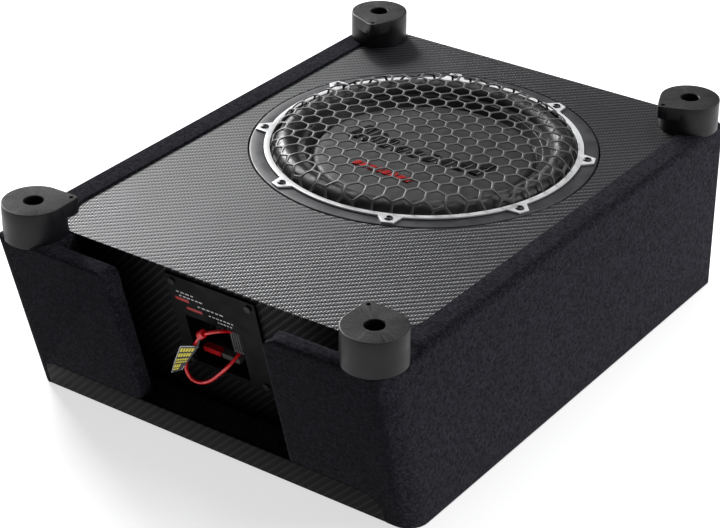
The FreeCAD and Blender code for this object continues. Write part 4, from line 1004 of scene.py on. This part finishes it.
def make_foot(name, tip):
    """Round foot with a stepped hole, a drop-shaped top plate and a small eye near its tip."""
    low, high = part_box(name)
    side = 1 if low.x + high.x > 0 else -1
    end = 1 if low.y + high.y > 0 else -1
    centre = Vector((side * FOOT_X, end * FOOT_Y, 0))
    top, tab = high.z, high.z - TAB_THICK
    round_levels = [(low.z, 0.6), (low.z + 0.6 * MM, 0.0), (tab - 0.05 * MM, 0.0)]
    drop_levels = [
        (tab, 0.5), (tab + 0.5 * MM, 0.0), (top - 1.0 * MM, 0.0), (top - 0.3 * MM, 0.25), (top, 1.0),
    ]
    bores = [
        (FOOT_HOLE + 0.6 * MM, top), (FOOT_HOLE, top - 0.6 * MM), (FOOT_HOLE, FOOT_SEAT),
        (HEAD_HOLE, FOOT_SEAT), (HEAD_HOLE, HEAD_SEAT), (0.1 * MM, HEAD_SEAT),
    ]
    steps = 180
    shape = bmesh.new()
    rings = []
    angles = [2 * math.pi * step / steps for step in range(steps)]

    def ring(reach, height):
        points = [(reach(a) * math.cos(a), reach(a) * math.sin(a), height) for a in angles]
        rings.append([shape.verts.new(centre + Vector(point)) for point in points])

    def from_tip(angle):
        return (angle - tip + math.pi) % (2 * math.pi) - math.pi

    for height, inset in round_levels:
        ring(lambda a: FOOT_RADIUS - inset * MM, height)
    for height, inset in drop_levels:
        least = FOOT_RADIUS if height < top - TAB_THICK / 2 else 0
        ring(lambda a: max(least, drop_radius(from_tip(a)) - inset * MM), height)
    for radius, height in bores:
        ring(lambda a: radius, height)
    for below, above in zip(rings, rings[1:]):
        for index in range(steps):
            after = (index + 1) % steps
            shape.faces.new((below[index], below[after], above[after], above[index]))
    shape.faces.new(list(reversed(rings[0])))
    shape.faces.new(rings[-1])
    bmesh.ops.remove_doubles(shape, verts=shape.verts, dist=2e-6)
    eye = bmesh.new()
    bmesh.ops.create_cone(
        eye, segments=20, radius1=2 * MM, radius2=2 * MM, depth=2 * TAB_THICK, cap_ends=True
    )
    spot = centre + Vector((math.cos(tip), math.sin(tip), 0)) * 31 * MM + Vector((0, 0, top))
    bmesh.ops.translate(eye, vec=spot, verts=eye.verts)
    cutter = add_object("eye", to_mesh("eye", eye))
    mesh = with_modifiers(to_mesh(name, shape), [("BOOLEAN", {"object": cutter, "operation": "DIFFERENCE"})])
    bpy.data.objects.remove(cutter)
    item = add_piece(name + "_body", mesh, "root", "foot", crease=40)
    item.data.materials.append(streak_material(name + "_top", centre))
    for face in item.data.polygons:
        if face.normal.z > 0.95 and face.center.z > top - 0.5 * MM:
            face.material_index = 1
    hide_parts(name)


# ---- sill ------------------------------------------------------------------------------------


def make_sill():
    """Strip of vinyl with rounded ends along the bottom of the front."""
    left, right = -SILL_ENDS[-1], SILL_ENDS[1]
    thick = 2.9 * MM
    rise = SILL_TOP / math.cos(LEAN)
    low = CARPET * math.sin(LEAN)
    corners = [(left, 0), (right, 0), (right, rise), (left, rise)]
    outline = round_corners(corners, [1 * MM, 1 * MM, SILL_ROUNDS[1], SILL_ROUNDS[-1]], 8)
    stand = Matrix.Translation((0, front(low) + thick / math.cos(LEAN), low))
    place = stand @ UPRIGHT
    shape = plate(outline, [], 0, thick, 1.3 * MM, place)
    mesh = to_mesh("sill", shape)
    # Its twill is a darker copy of the deck's vinyl: painted shade.
    add_piece("sill_strip", mesh, "root", "twill_sill_painted_shade", crease=50, node="front_sill_trim")


# ---- cone and cap ----------------------------------------------------------------------------


def make_cone():
    level = FRAME_TOP
    profile = round_corners(
        [
            (112.6 * MM, level - 1.2 * MM), (112.6 * MM, level), (106.6 * MM, level), (102.5 * MM, 153 * MM),
            (33 * MM, 142 * MM), (33 * MM, 139.8 * MM), (103.2 * MM, 151.56 * MM),
            (107.6 * MM, level - 1.2 * MM),
        ],
        [0.3 * MM, 0.3 * MM, 1.5 * MM, 1 * MM, 0.3 * MM, 0.3 * MM, 0.8 * MM, 0.8 * MM],
    )
    mesh = to_mesh("cone", turn(profile, 160))
    add_piece("cone_shell", mesh, "cone_assembly", "cone", node="cone")
    shoulder = arc((94.9 * MM, 153.2 * MM), 5.6 * MM, 8, 84, 10)
    crown = [(r * MM, z * MM) for r, z in ((86, 159.15), (70, 159.6), (50, 159.95), (25, 160.2), (0, 160.3))]
    under = [(0, 158.9 * MM), (50 * MM, 158.5 * MM), (94 * MM, 157.3 * MM), (98.6 * MM, 153.1 * MM)]
    cap = turn([(100.4 * MM, 153.1 * MM), *shoulder, *crown, *under], 160)
    mesh = to_mesh("cap", cap)
    add_piece("cap_disc", mesh, "cone_assembly", "cap", crease=40, node="dust_cap")


def slanted_bar(left, low, width, height, slant):
    """Return the corners of a bar whose top is set to one side."""
    right, top = left + width, low + height
    return [(left, low), (right, low), (right + slant, top), (left + slant, top)]


def make_emblem():
    """Generic raised decoration on the cap: an arched row of leaning bars, and a short red row below it."""
    place = Matrix.Translation(DRIVER)
    bars = []
    count = 9
    for index in range(count):
        share = index / (count - 1)
        height = (15 + 13 * abs(2 * share - 1) ** 1.5) * MM
        left = (-76 + 130 * share) * MM
        low = (-13 - 4 * math.sin(math.pi * share)) * MM
        outline = slanted_bar(left, low, 10.5 * MM, height, 5.5 * MM)
        bars.append(plate(round_corners(outline, 1.6 * MM, 3), [], 158.8 * MM, 161.4 * MM, 0.6 * MM, place))
    add_piece("cap_emblem", to_mesh("emblem", join(bars)), "cone_assembly", "emblem")
    marks = []
    for index in range(8):
        left, low = (-39 + 8 * index) * MM, (-57 - 0.4 * index) * MM
        outline = slanted_bar(left, low, 5.2 * MM, (8 + index % 2) * MM, 2.4 * MM)
        marks.append(plate(round_corners(outline, 0.8 * MM, 3), [], 158.8 * MM, 160.9 * MM, 0.3 * MM, place))
    add_piece("cap_accent", to_mesh("accent", join(marks)), "cone_assembly", "red")


# ---- amplifier panel -------------------------------------------------------------------------


def on_wall(across, up, out):
    return WALL @ Matrix.Translation((across * MM, up * MM, out * MM))


def make_label():
    """Generic scale marks beside the pocket: short dashes in rows, and two dull red blocks."""
    dashes = []
    rows = [(33, -36, 4, 5.0), (29, -34, 6, 4.2), (23, -16, 6, 4.6), (17, -6, 7, 3.8), (13, 2, 5, 3.2)]
    for up, start, count, pitch in rows:
        for index in range(count):
            length = pitch * (0.55 + 0.25 * ((index * 7) % 3) / 2)
            place = on_wall(start + index * pitch, up, 2.55)
            dashes.append(block(length * MM, 1.2 * MM, 0.12 * MM, place, 0.02 * MM))
    add_piece("label_marks", to_mesh("marks", join(dashes)), "root", "white")
    blocks = [
        block(14 * MM, 3.2 * MM, 0.12 * MM, on_wall(-33, 25, 2.55), 0.02 * MM),
        block(16 * MM, 3.0 * MM, 0.12 * MM, on_wall(-22, 17, 2.55), 0.02 * MM),
    ]
    add_piece("label_blocks", to_mesh("blocks", join(blocks)), "root", "print_red")


def make_knobs():
    """Fluted caps with a white pointer line, one for each rotary control."""
    for control, across in (("gain", -28), ("crossover", -17), ("bass", -6)):
        name, body = control + "_knob", control + "_control"
        outline = []
        for step in range(96):
            angle = 2 * math.pi * step / 96
            radius = (3.8 + 0.2 * math.cos(12 * angle)) * MM
            outline.append((radius * math.cos(angle), radius * math.sin(angle)))
        cap = plate(outline, [], -23.7 * MM, -14.7 * MM, 0.5 * MM, on_wall(across, 1, 0))
        spindle = plate(circle(2 * MM, 24), [], -30 * MM, -22 * MM, 0.2 * MM, on_wall(across, 1, 0))
        pointer = block(0.8 * MM, 3.4 * MM, 0.16 * MM, on_wall(across, 2.2, -14.68), 0.03 * MM)
        mesh = to_mesh(name, join([cap, spindle]))
        add_piece(name + "_grip", mesh, body, "knob", node=name)
        mesh = to_mesh(name + "_pointer", pointer)
        add_piece(name + "_pointer", mesh, body, "white")


TAG_CORNERS = [
    Vector((-0.0342, -0.2320, 0.0940)),
    Vector((-0.0129, -0.2330, 0.1020)),
    Vector((-0.0360, -0.2285, 0.0685)),
    Vector((-0.0482, -0.2285, 0.0612)),
]


def on_tag(across, down, out=0.0):
    """Return a place on the twisted card, from its top left corner."""
    top_left, top_right, low_right, low_left = TAG_CORNERS
    left = top_left.lerp(low_left, down)
    right = top_right.lerp(low_right, down)
    place = left.lerp(right, across)
    normal = (right - left).cross(low_left - top_left).normalized()
    bow = math.sin(math.pi * down) * 1.2 * MM
    return place - normal * (out + bow)


def tag_patch(left, top, right, low, near, far, steps=10):
    """Return a thin patch of the tag between two distances from its middle surface."""
    shape = bmesh.new()
    sheets = []
    for out in (near, far):
        grid = []
        for j in range(steps + 1):
            down = top + (low - top) * j / steps
            places = [on_tag(left + (right - left) * i / steps, down, out) for i in range(steps + 1)]
            grid.append([shape.verts.new(place) for place in places])
        sheets.append(grid)
    for grid in sheets:
        for j in range(steps):
            for i in range(steps):
                shape.faces.new((grid[j][i], grid[j][i + 1], grid[j + 1][i + 1], grid[j + 1][i]))
    edge = [(0, i) for i in range(steps)] + [(j, steps) for j in range(steps)]
    edge += [(steps, steps - i) for i in range(steps)] + [(steps - j, 0) for j in range(steps)]
    for (j, i), (n, m) in zip(edge, edge[1:] + edge[:1]):
        shape.faces.new([sheets[0][j][i], sheets[0][n][m], sheets[1][n][m], sheets[1][j][i]])
    return shape


def make_tag():
    """Twisted card with a pale border and rows of yellow bars, tied below the crimp."""
    card = tag_patch(0, 0, 1, 1, -0.3 * MM, 0.3 * MM)
    corner = on_tag(0.93, 0.03)
    tie_top = Vector(LOOP_ROUTE[3])
    lie = tie_top - corner
    stand = Matrix.Translation((tie_top + corner) / 2) @ lie.to_track_quat("Z", "Y").to_matrix().to_4x4()
    tie = block(1.2 * MM, 1.2 * MM, lie.length, stand)
    item = add_piece("tag_leaf", to_mesh("tag", join([card, tie])), "plug", "card")
    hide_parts("pull_tag")
    near, far = 0.28 * MM, 0.42 * MM
    edges = [(0.0, 0.02, 0.05, 0.98), (0.02, 0.0, 0.75, 0.03), (0.90, 0.80, 0.96, 0.99)]
    border = join([tag_patch(*edge, near, far) for edge in edges])
    border_item = add_piece("tag_border", to_mesh("border", border), "plug", "white")
    bars = []
    rows = [
        (0.08, 0.20, 5), (0.26, 0.38, 5), (0.46, 0.52, 7), (0.56, 0.62, 6), (0.68, 0.80, 3), (0.84, 0.90, 2),
    ]
    for top, low, count in rows:
        room = 0.80 if count > 3 else 0.5
        for index in range(count):
            start = 0.10 + room * index / count
            bars.append(tag_patch(start, top, start + room / count * 0.72, low, near, far, 3))
    print_item = add_piece("tag_print", to_mesh("print", join(bars)), "plug", "yellow")
    return [item, border_item, print_item]


# ---- light and floor -------------------------------------------------------------------------


def make_light(name, place, aim, size, power, colour=(1, 1, 1)):
    data = bpy.data.lights.new(name, "AREA")
    data.shape = "RECTANGLE"
    data.size, data.size_y = size
    data.energy = power
    data.color = colour
    item = add_object(name, data)
    item.location = place
    item.rotation_mode = "QUATERNION"
    item.rotation_quaternion = (Vector(aim) - Vector(place)).to_track_quat("-Z", "Y")


def make_stage():
    """Pale floor, a dim even sky, and three soft lights."""
    world = bpy.data.worlds.new("studio")
    world.use_nodes = True
    world.node_tree.nodes["Background"].inputs["Color"].default_value = (0.96, 0.97, 1.0, 1)
    world.node_tree.nodes["Background"].inputs["Strength"].default_value = 0.12
    bpy.context.scene.world = world
    make_light("key", (-3.0, 1.6, 1.8), (-0.1, -0.1, 0.1), (1.7, 1.2), 160)
    make_light("top", (0.3, 1.3, 2.6), (0, 0, 0), (1.8, 1.8), 26)
    make_light("side", (2.6, 1.3, 1.2), (0.1, 0, 0.1), (1.2, 1.6), 26)
    recipe = Recipe("studio_floor", Roughness=0.9, Specular_IOR_Level=0.2)
    mottle = recipe.noise(0.4, detail=2.0)
    recipe.set(
        Base_Color=recipe.mix(mottle, (0.86, 0.86, 0.87), (0.88, 0.88, 0.88)),
        Emission_Color=(1, 1, 1, 1),
        Emission_Strength=0.65,
    )
    bpy.ops.mesh.primitive_plane_add(size=24, location=(0, 0, -0.0004))
    floor = bpy.context.object
    floor.name = "studio_floor"
    floor.data.materials.append(recipe.material)


make_camera()
loop = make_loop()
knot = make_knot()
tag_pieces = make_tag()
paint_nodes()
for side in (-1, 1):
    make_carpet(side)
make_foot("front_left_foot", math.radians(46))
make_foot("front_right_foot", math.radians(134))
make_foot("rear_left_foot", math.radians(-67))
make_foot("rear_right_foot", math.radians(-113))
make_sill()
make_cone()
make_emblem()
make_label()
make_knobs()
make_grille()
make_trim()
make_ring()
make_screws()
make_surround()
make_spider()
make_stage()
bpy.context.scene.view_settings.view_transform = "Standard"
